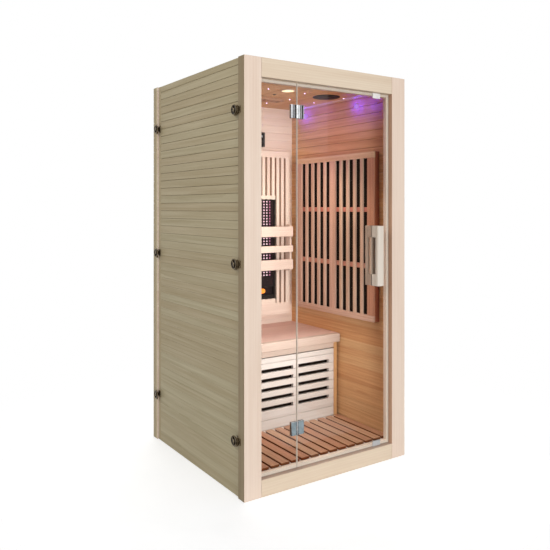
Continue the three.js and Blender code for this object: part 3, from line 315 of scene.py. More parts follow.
# End faces of the back lining at the corners: paler as a painted highlight
END_HIGHLIGHT_WOOD = wood("end_grain", srgb(240, 222, 184), srgb(222, 200, 158), tone_spread=0.05)
GRILLE_WOOD = wood("grille_wood", srgb(217, 181, 164), srgb(170, 128, 108), tone_spread=0.16)
PALE_WOOD = wood("pale_wood", srgb(236, 219, 207), srgb(217, 195, 181), tone_spread=0.07, ring_share=0.4)
NOSING_WOOD = wood("nosing_wood", srgb(203, 183, 171), srgb(184, 160, 147), tone_spread=0.05, ring_share=0.4)
CORNER_WOOD = wood("corner_wood", srgb(214, 172, 124), srgb(184, 138, 92), tone_spread=0.06)
HANDLE_WOOD = wood("handle_wood", srgb(232, 222, 210), srgb(208, 194, 178), tone_spread=0.05, ring_share=0.3)
INNER_HANDLE_WOOD = wood("inner_handle_wood", srgb(192, 174, 160), srgb(172, 152, 138), tone_spread=0.05)
BENCH_WOOD = wood("bench_wood", srgb(220, 213, 208), srgb(201, 191, 184), tone_spread=0.06, ring_share=0.4)
# Walls of the heater boxes: a redder wood, darkened further as painted shade
BOX_SHADE_WOOD = wood("box_wood", srgb(178, 114, 86), srgb(142, 86, 62), tone_spread=0.05)
RAIL_WOOD = wood("rail_wood", srgb(232, 206, 170), srgb(192, 154, 120), tone_spread=0.1)
TAN_WOOD = wood("tan_wood", srgb(216, 184, 163), srgb(170, 131, 109), tone_spread=0.16)
STILE_WOOD = wood("stile_wood", srgb(206, 157, 130), srgb(170, 117, 92), tone_spread=0.05)
CROSSBAR_WOOD = wood("crossbar_wood", srgb(202, 138, 122), srgb(172, 108, 92), tone_spread=0.05)
SEAT_WOOD = wood("seat_wood", srgb(229, 195, 186), srgb(201, 163, 153), tone_spread=0.05, ring_share=0.4)
CLEAR_GLASS = clear_glass()
GLOWING_GLASS_EDGE = glass_edge()
CHROME = polished_metal("chrome", srgb(226, 229, 232), 0.05, 0.12)
STEEL = polished_metal("brushed_steel", srgb(196, 198, 200), 0.22, 0.36, scale=(420, 60, 60), bump=0.08)
GREY_STEEL = plastic("grey_steel", srgb(198, 199, 201), 0.3, 0.42, scale=600, bump=0.05)
# Whiter steel for the top door clip: a painted highlight
HIGHLIT_STEEL = plastic("satin_steel", srgb(250, 248, 248), 0.3, 0.42, scale=600, bump=0.05)
BRONZE = aged_bronze()
BLACK = plastic("black_plastic", srgb(28, 27, 28), 0.36, 0.5)
SPEAKER_BLACK = plastic("speaker_black", srgb(19, 16, 15), 0.55, 0.7)
DIODE_GROUND = plastic("diode_ground", srgb(24, 5, 10), 0.5, 0.65, bump=0.03)
GLOSS_BLACK = plastic("gloss_black", srgb(24, 23, 25), 0.12, 0.2, bump=0.02)
WHITE = plastic("white_plastic", srgb(236, 232, 224), 0.25, 0.35, bump=0.04)
CARBON = carbon_film()
WARM_LENS = glowing("warm_lens", srgb(255, 226, 170), 1.15)
VIOLET_LENS = glowing("violet_lens", srgb(200, 138, 240), 0.8, (0.02, 0.01, 0.03, 1))
STAR_LENS = glowing("star_lens", srgb(226, 190, 255), 6.0)
BRIGHT_DIODE = glowing("bright_diode", srgb(255, 226, 234), 1.35, (0.3, 0.03, 0.06, 1))
WEAK_DIODE = glowing("weak_diode", srgb(236, 168, 206), 0.75, (0.3, 0.03, 0.06, 1))
EMBER_LENS = glowing("ember_lens", srgb(255, 140, 40), 1.2, (0.6, 0.2, 0.05, 1))
DISPLAY = glowing("display", srgb(190, 200, 206), 0.25, (0.3, 0.33, 0.35, 1))


AXES = {"x": (0, 1, 2), "y": (1, 2, 0), "z": (2, 0, 1)}


def arc(centre, radius, start, end, steps):
    """Points of an arc, in degrees, both ends included."""
    turns = [math.radians(start + (end - start) * i / steps) for i in range(steps + 1)]
    return [(centre[0] + radius * math.cos(t), centre[1] + radius * math.sin(t)) for t in turns]


def round_rect(low, high, radius, steps=4):
    """Outline of a rectangle with round corners."""
    (a, b), (c, d) = low, high
    corners = [((c - radius, b + radius), -90), ((c - radius, d - radius), 0),
               ((a + radius, d - radius), 90), ((a + radius, b + radius), 180)]
    return [p for centre, turn in corners for p in arc(centre, radius, turn, turn + 90, steps)]


class Work:
    """A piece put together from closed parts. side and end of -1 mirror it in X and in Y."""

    def __init__(self, name, *materials, side=1, end=1):
        self.name = name
        self.materials = materials
        self.mirror = Vector((side, end, 1))
        self.points, self.faces, self.grain, self.tone, self.slots = [], [], [], [], []

    def take(self, part, along="z", material=0, tone=None):
        """Takes over a part, as one board whose grain runs along an axis."""
        start = len(self.points)
        middle = sum((v.co for v in part.verts), Vector()) / len(part.verts)
        pith = Vector((rng.uniform(0, 40), rng.uniform(-0.06, 0.06), rng.uniform(0.015, 0.09)))
        tone = rng.random() if tone is None else tone
        order = AXES[along]
        part.verts.index_update()
        for vert in part.verts:
            local = vert.co - middle
            self.points.append(vert.co * self.mirror)
            self.grain.append(Vector(local[i] for i in order) + pith)
            self.tone.append(tone)
        flipped = self.mirror.x * self.mirror.y < 0
        for face in part.faces:
            loop = [start + v.index for v in face.verts]
            self.faces.append(loop[::-1] if flipped else loop)
            self.slots.append(material)
        part.free()

    def board(self, low, high, along, ease=SLAT_EASE, material=0, tone=None, steps=2):
        """A board between two corners, with eased edges."""
        low, high = Vector(map(min, low, high)), Vector(map(max, low, high))
        part = bmesh.new()
        bmesh.ops.create_cube(part, size=1)
        for vert in part.verts:
            vert.co = (low + high) / 2 + vert.co * (high - low)
        most = 0.45 * min(high - low)
        bmesh.ops.bevel(part, geom=part.edges[:], offset=min(ease, most), segments=steps, profile=0.5,
                        affect="EDGES")
        self.take(part, along, material, tone)

    def prism(self, outline, axis, low, high, ease=0.0, along="z", material=0, tone=None, steps=2):
        """An outline, in the two other axes in their order, swept along one axis, with its sharp edges eased."""
        part = bmesh.new()
        place = {"x": lambda a, b, t: (t, a, b), "y": lambda a, b, t: (a, t, b), "z": lambda a, b, t: (a, b, t)}[axis]
        rings = [[part.verts.new(place(a, b, t)) for a, b in outline] for t in (low, high)]
        part.faces.new(rings[0])
        part.faces.new(rings[1])
        for i in range(len(outline)):
            j = (i + 1) % len(outline)
            part.faces.new((rings[0][i], rings[0][j], rings[1][j], rings[1][i]))
        bmesh.ops.recalc_face_normals(part, faces=part.faces[:])
        if ease:
            sharp = [e for e in part.edges if e.calc_face_angle(0) > math.radians(32)]
            bmesh.ops.bevel(part, geom=sharp, offset=ease, segments=steps, profile=0.5, affect="EDGES",
                            clamp_overlap=True)
        self.take(part, along, material, tone)

    def turned(self, profile, centre, axis="z", steps=32, material=0, along="z", tone=None):
        """A profile of (radius, height) points turned about an axis through centre."""
        part = bmesh.new()
        order = AXES[axis]
        rings = []
        for radius, height in profile:
            ring = []
            for i in range(steps if radius > 0 else 1):
                turn = 2 * math.pi * i / steps
                co = Vector(centre)
                co[order[0]] += height
                co[order[1]] += radius * math.cos(turn)
                co[order[2]] += radius * math.sin(turn)
                ring.append(part.verts.new(co))
            rings.append(ring)
        for lower, upper in zip(rings, rings[1:]):
            for i in range(steps):
                j = (i + 1) % steps
                corners = [lower[i % len(lower)], lower[j % len(lower)], upper[j % len(upper)], upper[i % len(upper)]]
                unique = list(dict.fromkeys(corners))
                if len(unique) > 2:
                    part.faces.new(unique)
        for ring in (rings[0], rings[-1]):
            if len(ring) > 2:
                part.faces.new(ring)
        bmesh.ops.recalc_face_normals(part, faces=part.faces[:])
        self.take(part, along, material, tone)

    def done(self, slot, *nodes, body="cabin", sharp=38):
        """Makes the piece, rides it on its body and lets it stand for the given nodes."""
        mesh = bpy.data.meshes.new(self.name)
        mesh.from_pydata(self.points, [], self.faces)
        for material in self.materials:
            mesh.materials.append(material)
        mesh.polygons.foreach_set("material_index", self.slots)
        mesh.polygons.foreach_set("use_smooth", [True] * len(self.faces))
        mesh.set_sharp_from_angle(angle=math.radians(sharp))
        grain = mesh.attributes.new("grain", "FLOAT_VECTOR", "POINT")
        grain.data.foreach_set("vector", [c for g in self.grain for c in g])
        tone = mesh.attributes.new("tone", "FLOAT", "POINT")
        tone.data.foreach_set("value", self.tone)
        mesh.update()
        made = bpy.data.objects.new(self.name, mesh)
        bpy.context.scene.collection.objects.link(made)
        weighted = made.modifiers.new("weighted_normals", "WEIGHTED_NORMAL")
        weighted.keep_sharp = True
        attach(made, body)
        if nodes:
            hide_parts(*nodes)
        return made


def board_levels(bottom, top, pitch, top_board, least=0.012):
    """Edges of boards laid from the top down: (low, high) pairs."""
    levels = [top]
    height = top - top_board
    while height - bottom > least:
        levels.append(height)
        height -= pitch
    levels.append(bottom)
    return [(low, high) for high, low in zip(levels, levels[1:])]


def joint(height):
    """Gap and eased edge of an outer joint: open near the top, where the joints show darker, tight low down."""
    share = min(1, max(0, (height - 0.95) / 0.45))
    return TIGHT_GAP + share * (WALL_GAP - TIGHT_GAP), TIGHT_EASE + share * (BOARD_EASE - TIGHT_EASE)


SIDES = {"left": -1, "right": 1}


def side_walls():
    """Outer boards, and the lining with its battens, of each side wall."""
    for name, side in SIDES.items():
        outer = Work(f"{name}_outer_boards", OUTER_WOOD, side=side)
        for low, high in board_levels(0, CABIN_TOP, OUTER_PITCH, OUTER_TOP_BOARD):
            gap, ease = joint(low)
            outer.board(
                (SIDE_OUTSIDE - BOARD, FRONT_INSIDE, low + gap / 2),
                (SIDE_OUTSIDE, BACK_INSIDE - EDGE_BATTEN - JOINT_GAP, high - gap / 2),
                "y", ease,
            )
        outer.done("outer_wood", f"{name}_wall_cladding")

        lining = Work(f"{name}_lining", INNER_WOOD, OUTER_WOOD, side=side)
        for low, high in board_levels(0, CABIN_TOP, LINING_PITCH, LINING_TOP_BOARD):
            gap, ease = joint(low)
            lining.board(
                (SIDE_INSIDE, FRONT_INSIDE, low + gap / 2), (SIDE_INSIDE + BOARD, BACK_INSIDE, high - gap / 2),
                "y", ease,
            )
        hollow = (SIDE_INSIDE + BOARD, SIDE_OUTSIDE - BOARD)
        for y in (FRONT_INSIDE, -STUD / 2):
            lining.board((hollow[0], y, STUD), (hollow[1], y + STUD, CABIN_TOP - STUD), "z", material=1)
        for z in (0, CABIN_TOP - STUD):
            lining.board((hollow[0], FRONT_INSIDE, z), (hollow[1], BACK_INSIDE - EDGE_BATTEN, z + STUD), "y", material=1)
        lining.board(
            (hollow[0], BACK_INSIDE - EDGE_BATTEN, 0), (SIDE_OUTSIDE, BACK_INSIDE, CABIN_TOP),
            "z", FRAME_EASE, material=1, tone=0.3,
        )
        lining.done("inner_wood", f"{name}_wall_lining")


def back_wall():
    """Outer boards and lining of the back wall."""
    outer = Work("back_outer_boards", OUTER_WOOD)
    for low, high in board_levels(0, CABIN_TOP, OUTER_PITCH, OUTER_TOP_BOARD):
        gap, ease = joint(low)
        outer.board(
            (-CABIN_HALF, CABIN_BACK - BOARD, low + gap / 2), (CABIN_HALF, CABIN_BACK, high - gap / 2), "x", ease,
        )
    outer.done("outer_wood", "back_wall_cladding")

    lining = Work("back_lining", PALE_WOOD, OUTER_WOOD, END_HIGHLIGHT_WOOD)
    for low, high in board_levels(0, CABIN_TOP, LINING_PITCH, LINING_TOP_BOARD):
        lining.board(
            (-CABIN_HALF, BACK_INSIDE, low + TIGHT_GAP / 2), (CABIN_HALF, BACK_INSIDE + BOARD, high - TIGHT_GAP / 2),
            "x", TIGHT_EASE,
        )
    hollow = (BACK_INSIDE + BOARD, CABIN_BACK - BOARD)
    for x in (-CABIN_HALF, CABIN_HALF - STUD):
        lining.board((x, hollow[0], 0), (x + STUD, hollow[1], CABIN_TOP), "z", FRAME_EASE, material=1)
    lining.board((-STUD / 2, hollow[0], STUD), (STUD / 2, hollow[1], CABIN_TOP - STUD), "z", material=1)
    for z in (0, CABIN_TOP - STUD):
        lining.board((-CABIN_HALF + STUD, hollow[0], z), (CABIN_HALF - STUD, hollow[1], z + STUD), "x", material=1)
    seat_low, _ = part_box("bench_seat")
    cleat_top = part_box("bench_seat")[1].z - 0.022 - SEAT
    lining.board(
        (-SIDE_INSIDE + 0.008, BACK_INSIDE - 0.03, cleat_top - 0.04),
        (SIDE_INSIDE - 0.008, BACK_INSIDE, cleat_top), "x",
    )
    made = lining.done("inner_wood", "back_wall_lining")
    # The boards' end faces get the paler wood: painted highlight
    for face in made.data.polygons:
        if abs(face.normal.x) > 0.9 and face.material_index == 0:
            face.material_index = 2


def front_frame():
    """Posts and rails of the front, each with the lip that the glass closes against."""
    for name, side in SIDES.items():
        post = Work(f"front_{name}_post_wood", FRONT_WOOD, POST_SIDE_SHADE_WOOD, REVEAL_SHADE_WOOD, LIP_HIGHLIGHT_WOOD, side=side)
        post.board((OPENING_HALF, FRONT_FACE, 0), (CABIN_HALF, FRONT_INSIDE, CABIN_TOP), "z", FRAME_EASE, tone=0.5)
        # The lip, in the pale wood of the painted highlight
        post.board(
            (OPENING_HALF - LIP, LIP_FACE, OPENING_BOTTOM), (OPENING_HALF, FRONT_INSIDE, OPENING_TOP),
            "z", FRAME_EASE, tone=0.6, material=3,
        )
        made = post.done("front_wood", f"front_{name}_post")
        for face in made.data.polygons:
            # Outer side face: darker wood as painted shade
            if face.normal.x * side > 0.5 and abs(face.center.x) > OPENING_HALF:
                face.material_index = 1
            # Inner reveal of the opening: darker brown as painted shade
            if face.normal.x * side < -0.5 and abs(face.center.x) > OPENING_HALF - 0.001:
                face.material_index = 2
    levels = {"top": (OPENING_TOP, CABIN_TOP, OPENING_TOP - LIP), "bottom": (OPENING_BOTTOM, 0, OPENING_BOTTOM + LIP)}
    half = OPENING_HALF - JOINT_GAP
    for name, (edge, far, lip) in levels.items():
        rail = Work(f"front_{name}_rail_wood", FRONT_RAIL_WOOD, LIP_HIGHLIGHT_WOOD, SILL_SHADE_WOOD)
        rail.board((-half, FRONT_FACE, edge), (half, FRONT_INSIDE, far), "x", FRAME_EASE, tone=0.1)
        # The lip, in the pale wood of the painted highlight
        rail.board((LIP - half, LIP_FACE, edge), (half - LIP, FRONT_INSIDE, lip), "x", FRAME_EASE, tone=0.6,
                   material=1)
        made = rail.done("front_wood", f"front_{name}_rail")
        # The sill's top face gets the darker wood: painted shade
        for face in made.data.polygons:
            if face.normal.z > 0.9 and name == "bottom" and face.material_index == 0:
                face.material_index = 2


# Latch levels above the side panel's face, and shapes about the stud
LATCH_HUB = 0.008
LATCH_STUD = 0.004
LATCH_BASE = 0.003
LATCH_HOOK_LEVELS = (0.0123, 0.0193)
LATCH_KNOB_LEVELS = (0.0183, 0.0243)
LATCH_HEAD_LEVELS = (0.0246, 0.0266)
LATCH_KNOB = 0.0225
LATCH_GRIP = ((0.0073, 0.0195), 0.0025, 120)
KEEPER_PLATE = 0.003
KEEPER_LIP_TOP = 0.0175


def latch_hardware():
    """Fixed halves of the latches: bases, studs and heads on the side panels, keepers on the next panel."""
    for name, side in SIDES.items():
        fixed = Work(f"{name}_latch_fixtures", BRONZE)
        for joint_name, joint in JOINTS.items():
            if not joint_name.startswith(name) or not joint_name.endswith("_turn"):
                continue
            _, y, z = joint["pos_m"]
            end = 1 if y > 0 else -1
            fixed.mirror = Vector((side, 1, 1))
            fixed.prism(
                round_rect((y - 0.011, z - 0.018), (y + 0.011, z + 0.018), 0.005),
                "x", SIDE_OUTSIDE, SIDE_OUTSIDE + LATCH_BASE, 0.0008,
            )
            for dz in (-0.0135, 0.0135):
                fixed.turned(
                    [(0.003, 0), (0.003, 0.0006), (0.002, 0.0012), (0, 0.0014)],
                    (SIDE_OUTSIDE + LATCH_BASE, y, z + dz), "x", 16,
                )
            fixed.turned(
                [(LATCH_STUD, 0), (LATCH_STUD, LATCH_HEAD_LEVELS[0]), (0.0058, LATCH_HEAD_LEVELS[0]),
                 (0.0065, LATCH_HEAD_LEVELS[0] + 0.0006), (0.0055, LATCH_HEAD_LEVELS[1] - 0.0004),
                 (0.003, LATCH_HEAD_LEVELS[1]), (0, LATCH_HEAD_LEVELS[1])],
                (SIDE_OUTSIDE, y, z), "x", 24,
            )
            joint_y = end * (BACK_INSIDE + SEAT)
            plate = [joint_y, joint_y + end * 0.022]
            lip = [joint_y, joint_y + end * 0.004]
            fixed.prism(
                round_rect((min(plate), z - 0.015), (max(plate), z + 0.015), 0.003),
                "x", CABIN_HALF, CABIN_HALF + KEEPER_PLATE, 0.0006,
            )
            fixed.board(
                (CABIN_HALF, min(lip), z - 0.007), (SIDE_OUTSIDE + KEEPER_LIP_TOP, max(lip), z + 0.007), "z", 0.0008,
            )
            for dz in (-0.01, 0.01):
                fixed.turned(
                    [(0.0028, 0), (0.0028, 0.0005), (0.002, 0.001), (0, 0.0012)],
                    (CABIN_HALF + KEEPER_PLATE, joint_y + end * 0.014, z + dz), "x", 16,
                )
        fixed.done("latch_bronze")


def latch_cams():
    """Turning halves of the latches: bored hub, hook and lever."""
    for joint_name, joint in JOINTS.items():
        if not joint_name.endswith("_turn"):
            continue
        name = joint_name.removesuffix("_turn")
        x, y, z = joint["pos_m"]
        cam = Work(f"{name}_cam_metal", BRONZE, side=1 if x > 0 else -1, end=1 if y > 0 else -1)
        base, across = abs(x), abs(y)
        inner = [(across + a, z + b) for a, b in arc((0, 0), 0.021, 45, -70, 16)]
        rim = [(across + a, z + b) for a, b in arc((0, 0), 0.027, -105, 45, 20)]
        cam.prism([(across, z), *rim, *inner], "x", base + LATCH_HOOK_LEVELS[0], base + LATCH_HOOK_LEVELS[1], 0.001)
        bottom, top = LATCH_KNOB_LEVELS
        bore, rim = LATCH_STUD + 0.0003, LATCH_KNOB
        cam.turned(
            [(bore, LATCH_BASE + SEAT), (LATCH_HUB - 0.0008, LATCH_BASE + SEAT), (LATCH_HUB, LATCH_BASE + SEAT + 0.0008),
             (LATCH_HUB, bottom), (rim - 0.0016, bottom), (rim - 0.0004, bottom + 0.0008), (rim, bottom + 0.002),
             (rim, top - 0.0016), (rim - 0.0006, top - 0.0004), (rim - 0.0018, top), (rim - 0.0036, top - 0.0004),
             (rim - 0.0052, top - 0.002), (rim - 0.0065, top - 0.0026), (LATCH_HUB + 0.001, top - 0.0024),
             (LATCH_HUB - 0.0004, top - 0.0006), (LATCH_HUB - 0.0014, top), (bore, top)],
            (base, across, z), "x", 48,
        )
        (near, far), half, angle = LATCH_GRIP
        turn = math.radians(angle)
        along, over = (math.cos(turn), math.sin(turn)), (-math.sin(turn), math.cos(turn))
        for way in (1, -1):
            ends = arc((way * (far - half), 0), half, -90 * way, 90 * way, 8)
            lug = [(way * near, way * half), (way * near, -way * half), *ends]
            lug = [(across + a * along[0] + b * over[0], z + a * along[1] + b * over[1]) for a, b in lug]
            cam.prism(lug, "x", base + top - 0.0035, base + LATCH_HEAD_LEVELS[1] - 0.0003, 0.0007, steps=3)
        cam.done("latch_bronze", f"{name}_latch", body=f"{name}_cam")


def pane(name, node, body):
    """A sheet of glass with ground, eased edges in pale green."""
    low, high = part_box(node)
    sheet = Work(name, CLEAR_GLASS, GLOWING_GLASS_EDGE)
    sheet.board(low, high, "z", 0.0006, steps=1)
    made = sheet.done("glass", node, body=body, sharp=20)
    for face in made.data.polygons:
        face.material_index = 0 if abs(face.normal.y) > 0.9 else 1
    return made


HINGE_X, HINGE_Y, _ = JOINTS["door_swing"]["pos_m"]
HINGE_PLATE = 0.005
HINGE_SWELL = 0.0013
HINGE_KNUCKLE = 0.004


def hinges():
    """Glass hinges: clamp plates on both sides of each pane, and knuckles on the axis between them."""
    pane_low, pane_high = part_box("door_glass")
    rear = pane_high.y + SEAT
    for level in ("upper", "lower"):
        for kind, side, body in (("fixed", -1, "cabin"), ("door", 1, "door")):
            node = f"{level}_hinge_{kind}_leaf"
            low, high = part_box(node)
            middle = (low.z + high.z) / 2
            half = (high.z - low.z) / 2
            far = low.x if side < 0 else high.x
            near = HINGE_X + side * 0.005
            leaf = Work(f"{node}_metal", CHROME)
            left, right = min(near, far), max(near, far)
            for front, way in ((HINGE_Y, 1), (rear + HINGE_PLATE, -1)):
                swell = [(left + (right - left) * i / 10, front + way * HINGE_SWELL * (i / 5 - 1) ** 2) for i in range(11)]
                section = [*swell, (right, front + way * HINGE_PLATE), (left, front + way * HINGE_PLATE)]
                leaf.prism(section, "z", low.z, high.z, 0.0006, steps=3)
            leaf.turned([(0.007, 0), (0.007, rear - HINGE_Y)], ((near + far) / 2, HINGE_Y + 0.001, middle), "y", 24)
            for dz in (-0.018, 0.018):
                leaf.turned(
                    [(0.0042, 0), (0.0042, 0.0004), (0.0036, 0.001), (0.0026, 0.001), (0.0022, 0.0003), (0, 0.0003)],
                    ((near + far) / 2, rear + HINGE_PLATE, middle + dz), "y", 20,
                )
            third = half / 3
            spans = [(-third, third)] if kind == "door" else [(-half, -third), (third, half)]
            for bottom, top in spans:
                gap = 0.00015
                leaf.turned(
                    [(0.0021, bottom + gap), (0.0036, bottom + gap), (HINGE_KNUCKLE, bottom + 0.0006),
                     (HINGE_KNUCKLE, top - 0.0006), (0.0036, top - gap), (0.0021, top - gap)],
                    (HINGE_X, HINGE_Y, middle), "z", 28,
                )
                leaf.board(
                    (HINGE_X + side * 0.0022, HINGE_Y, middle + bottom + gap),
                    (near + side * 0.001, HINGE_Y + HINGE_KNUCKLE, middle + top - gap), "z", 0.0004,
                )
            if kind == "fixed":
                leaf.turned([(0, -half + 0.001), (0.002, -half + 0.001), (0.002, half - 0.001), (0, half - 0.001)],
                            (HINGE_X, HINGE_Y, middle), "z", 20)
            leaf.done("hinge_chrome", node, body=body)


HANDLE_BAR = 0.018
HANDLE_GROOVE = 0.009
HANDLE_BACKING = 0.005
HANDLE_BLOCK = 0.057


def handles():
    """Wooden handles: a bar on two blocks outside, a grip with finger grooves inside."""
    pane_low, pane_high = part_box("door_glass")
    for name, way, face in (("outer", -1, pane_low.y), ("inner", 1, pane_high.y)):
        low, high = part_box(f"{name}_handle")
        out = low.y if way < 0 else high.y
        foot = face + way * SEAT
        bar = out - way * HANDLE_BAR
        handle = Work(f"{name}_handle_wood", HANDLE_WOOD if name == "outer" else INNER_HANDLE_WOOD, FRONT_WOOD)
        handle.board((low.x, out, low.z), (high.x, bar, high.z), "z", 0.0032, tone=0.75, steps=3)
        for bottom in (low.z, high.z - HANDLE_BLOCK):
            handle.board(
                (low.x + 0.0006, bar + way * 0.0002, bottom), (high.x - 0.0006, foot, bottom + HANDLE_BLOCK),
                "z", 0.0024, tone=0.6,
            )
        if name == "inner":
            ends = (low.z + HANDLE_BLOCK - 0.001, high.z - HANDLE_BLOCK + 0.001)
            for inset, start in ((HANDLE_GROOVE, bar), (0.0006, foot + way * HANDLE_BACKING)):
                handle.board((low.x + inset, start, ends[0]), (high.x - inset, foot, ends[1]), "z", tone=0.4, material=1)
        handle.done("pale_wood", f"{name}_handle", body="door")


def strikes():
    """Folded steel clips on the top and bottom edges of the door."""
    for name, way in (("top", 1), ("bottom", -1)):
        low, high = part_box(f"{name}_door_strike")
        # The top clip is whiter than the bottom one: painted highlight
        clip = Work(f"{name}_strike_steel", HIGHLIT_STEEL if way > 0 else GREY_STEEL)
        sheet = 0.0014
        clip.board((low.x, low.y, low.z), (high.x, low.y + sheet, high.z), "x", 0.0005)
        edge = high.z if way > 0 else low.z
        clip.board((low.x, low.y + 0.0002, edge), (high.x, high.y, edge - way * sheet), "x", 0.0004)
        clip.done("strike_steel", f"{name}_door_strike", body="door")


def floor_boards():
    """Duckboard of slats on pale battens."""
    low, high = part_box("duckboard")
    pitch, gap, slat = 0.056, 0.011, 0.012
    count = round((high.x - low.x + gap) / pitch)
    duck = Work("duckboard_wood", FLOOR_WOOD, PALE_WOOD, GAP_SHADE_WOOD)
    for i in range(count):
        left = low.x + i * pitch
        duck.board((left, low.y, high.z - slat), (left + pitch - gap, high.y, high.z), "y", 0.002)
    for y in (low.y, high.y - 0.04):
        duck.board((low.x, y, low.z), (high.x, y + 0.04, high.z - slat), "x", material=1)
    for i in range(1, count):
        right = low.x + i * pitch
        duck.board((right - gap, high.y - 0.014, high.z - slat), (right, high.y - 0.002, high.z - 0.0012), "y", 0.001,
                   material=1, tone=0.9)
    made = duck.done("inner_wood", "duckboard")
    # Slat sides facing the gaps get the dark wood: painted shade
    for face in made.data.polygons:
        if max(abs(face.normal.x), -face.normal.y) > 0.7 and face.material_index == 0:
            face.material_index = 2


CORNER_BEAD = 0.009


def corner_beads():
    """Quarter-round beads where the ceiling meets the side walls."""
    corner = (SIDE_INSIDE - SEAT, CEILING - SEAT)
    for name, side in SIDES.items():
        bead = Work(f"{name}_corner_bead", RAIL_WOOD, side=side)
        bead.prism([corner, *arc(corner, CORNER_BEAD, 180, 270, 6)], "y", FRONT_INSIDE + SEAT, BACK_INSIDE - SEAT,
                   along="y", tone=1)
        bead.done("inner_wood")


def split_round(low, high, hole):
    """Rectangles that cover (x, y) from low to high round a rectangular hole."""
    (a, b), (c, d) = hole
    rects = [
        ((low[0], low[1]), (high[0], min(b, high[1]))), ((low[0], max(d, low[1])), (high[0], high[1])),
        ((low[0], max(b, low[1])), (min(a, high[0]), min(d, high[1]))),
        ((max(c, low[0]), max(b, low[1])), (high[0], min(d, high[1]))),
    ]
    if a >= high[0] or c <= low[0] or b >= high[1] or d <= low[1]:
        return [(low, high)]
    return [(p, q) for p, q in rects if q[0] - p[0] > 0.001 and q[1] - p[1] > 0.001]


def ceiling_and_roof():
    """Ceiling boards, roof boards on battens, and the shaft of the vent through both."""
    shaft_low, shaft_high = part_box("vent_shaft")
    hole = ((shaft_low.x - SEAT, shaft_low.y - SEAT), (shaft_high.x + SEAT, shaft_high.y + SEAT))
    joints = [x for i in range(-5, 5) for x in [(i + 0.5) * CEILING_PITCH] if abs(x) < CEILING_HIGH.x - 0.012]
    edges = [CEILING_LOW.x, *joints, CEILING_HIGH.x]

    boards = Work("ceiling_boards", INNER_WOOD)
    for left, right in zip(edges, edges[1:]):
        spans = split_round((left + JOINT_GAP, CEILING_LOW.y), (right - JOINT_GAP, CEILING_HIGH.y), hole)
        tone = rng.random()
        for (a, b), (c, d) in spans:
            boards.board((a, b, CEILING), (c, d, CEILING_HIGH.z), "y", 0.001, tone=tone)
    boards.done("inner_wood", "ceiling_panel")

    low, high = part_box("roof_panel")
    roof = Work("roof_boards", OUTER_WOOD)
    for left, right in zip(edges, edges[1:]):
        for (a, b), (c, d) in split_round((left + JOINT_GAP, low.y), (right - JOINT_GAP, high.y), hole):
            roof.board((a, b, high.z - 0.008), (c, d, high.z), "y", 0.001)
    batten = 0.03
    for y in (low.y, high.y - batten):
        roof.board((low.x, y, low.z), (high.x, y + batten, high.z - 0.008), "x")
    for x in (low.x, high.x - batten):
        roof.board((x, low.y + batten, low.z), (x + batten, high.y - batten, high.z - 0.008), "y")
    roof.done("outer_wood", "roof_panel")

    wall = 0.015
    shaft = Work("vent_shaft_wood", PALE_WOOD)
    for y in (shaft_low.y, shaft_high.y - wall):
        shaft.board((shaft_low.x, y, shaft_low.z), (shaft_high.x, y + wall, shaft_high.z), "x", 0.0008)
    for x in (shaft_low.x, shaft_high.x - wall):
        shaft.board((x, shaft_low.y + wall, shaft_low.z), (x + wall, shaft_high.y - wall, shaft_high.z), "y", 0.0008)
    shaft.done("pale_wood", "vent_shaft")


def vent():
    """Sliding vent: two rails with a lip, a stop, and the slide with its turned knob."""
    low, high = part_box("vent_rails")
    slide_low, slide_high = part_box("vent_slide")
    rails = Work("vent_rails_wood", FLOOR_WOOD)
    inner = slide_high.y + SEAT
    middle = (low.y + high.y) / 2
    lap = 0.004
    for way in (-1, 1):
        near, far = middle + way * (inner - middle), middle + way * (high.y - middle)
        rails.board((low.x, near, low.z), (high.x, far, high.z), "x", 0.001)
        rails.board((low.x, near - way * lap, low.z), (high.x, near + way * 0.001, low.z + 0.004), "x", 0.0008)
    rails.board((slide_high.x + SEAT, low.y + 0.01, low.z), (high.x, high.y - 0.01, high.z), "y", 0.001)
    rails.done("pale_wood", "vent_rails")

    plate = slide_high.z - 0.008
    slide = Work("vent_slide_wood", FLOOR_WOOD)
    slide.board((slide_low.x, slide_low.y, plate), slide_high, "x", 0.001, tone=0.3)
    knob = 0.009
    slide.turned(
        [(0, 0), (knob * 0.7, 0), (knob * 0.94, 0.0012), (knob, 0.003), (knob * 0.9, 0.0055), (knob * 0.6, 0.0085),
         (knob * 0.6, 0.0125), (0, 0.0125)],
        (slide_low.x + 0.017, middle, slide_low.z), "z", 28, tone=0.2,
    )
    slide.done("pale_wood", "vent_slide", body="vent")


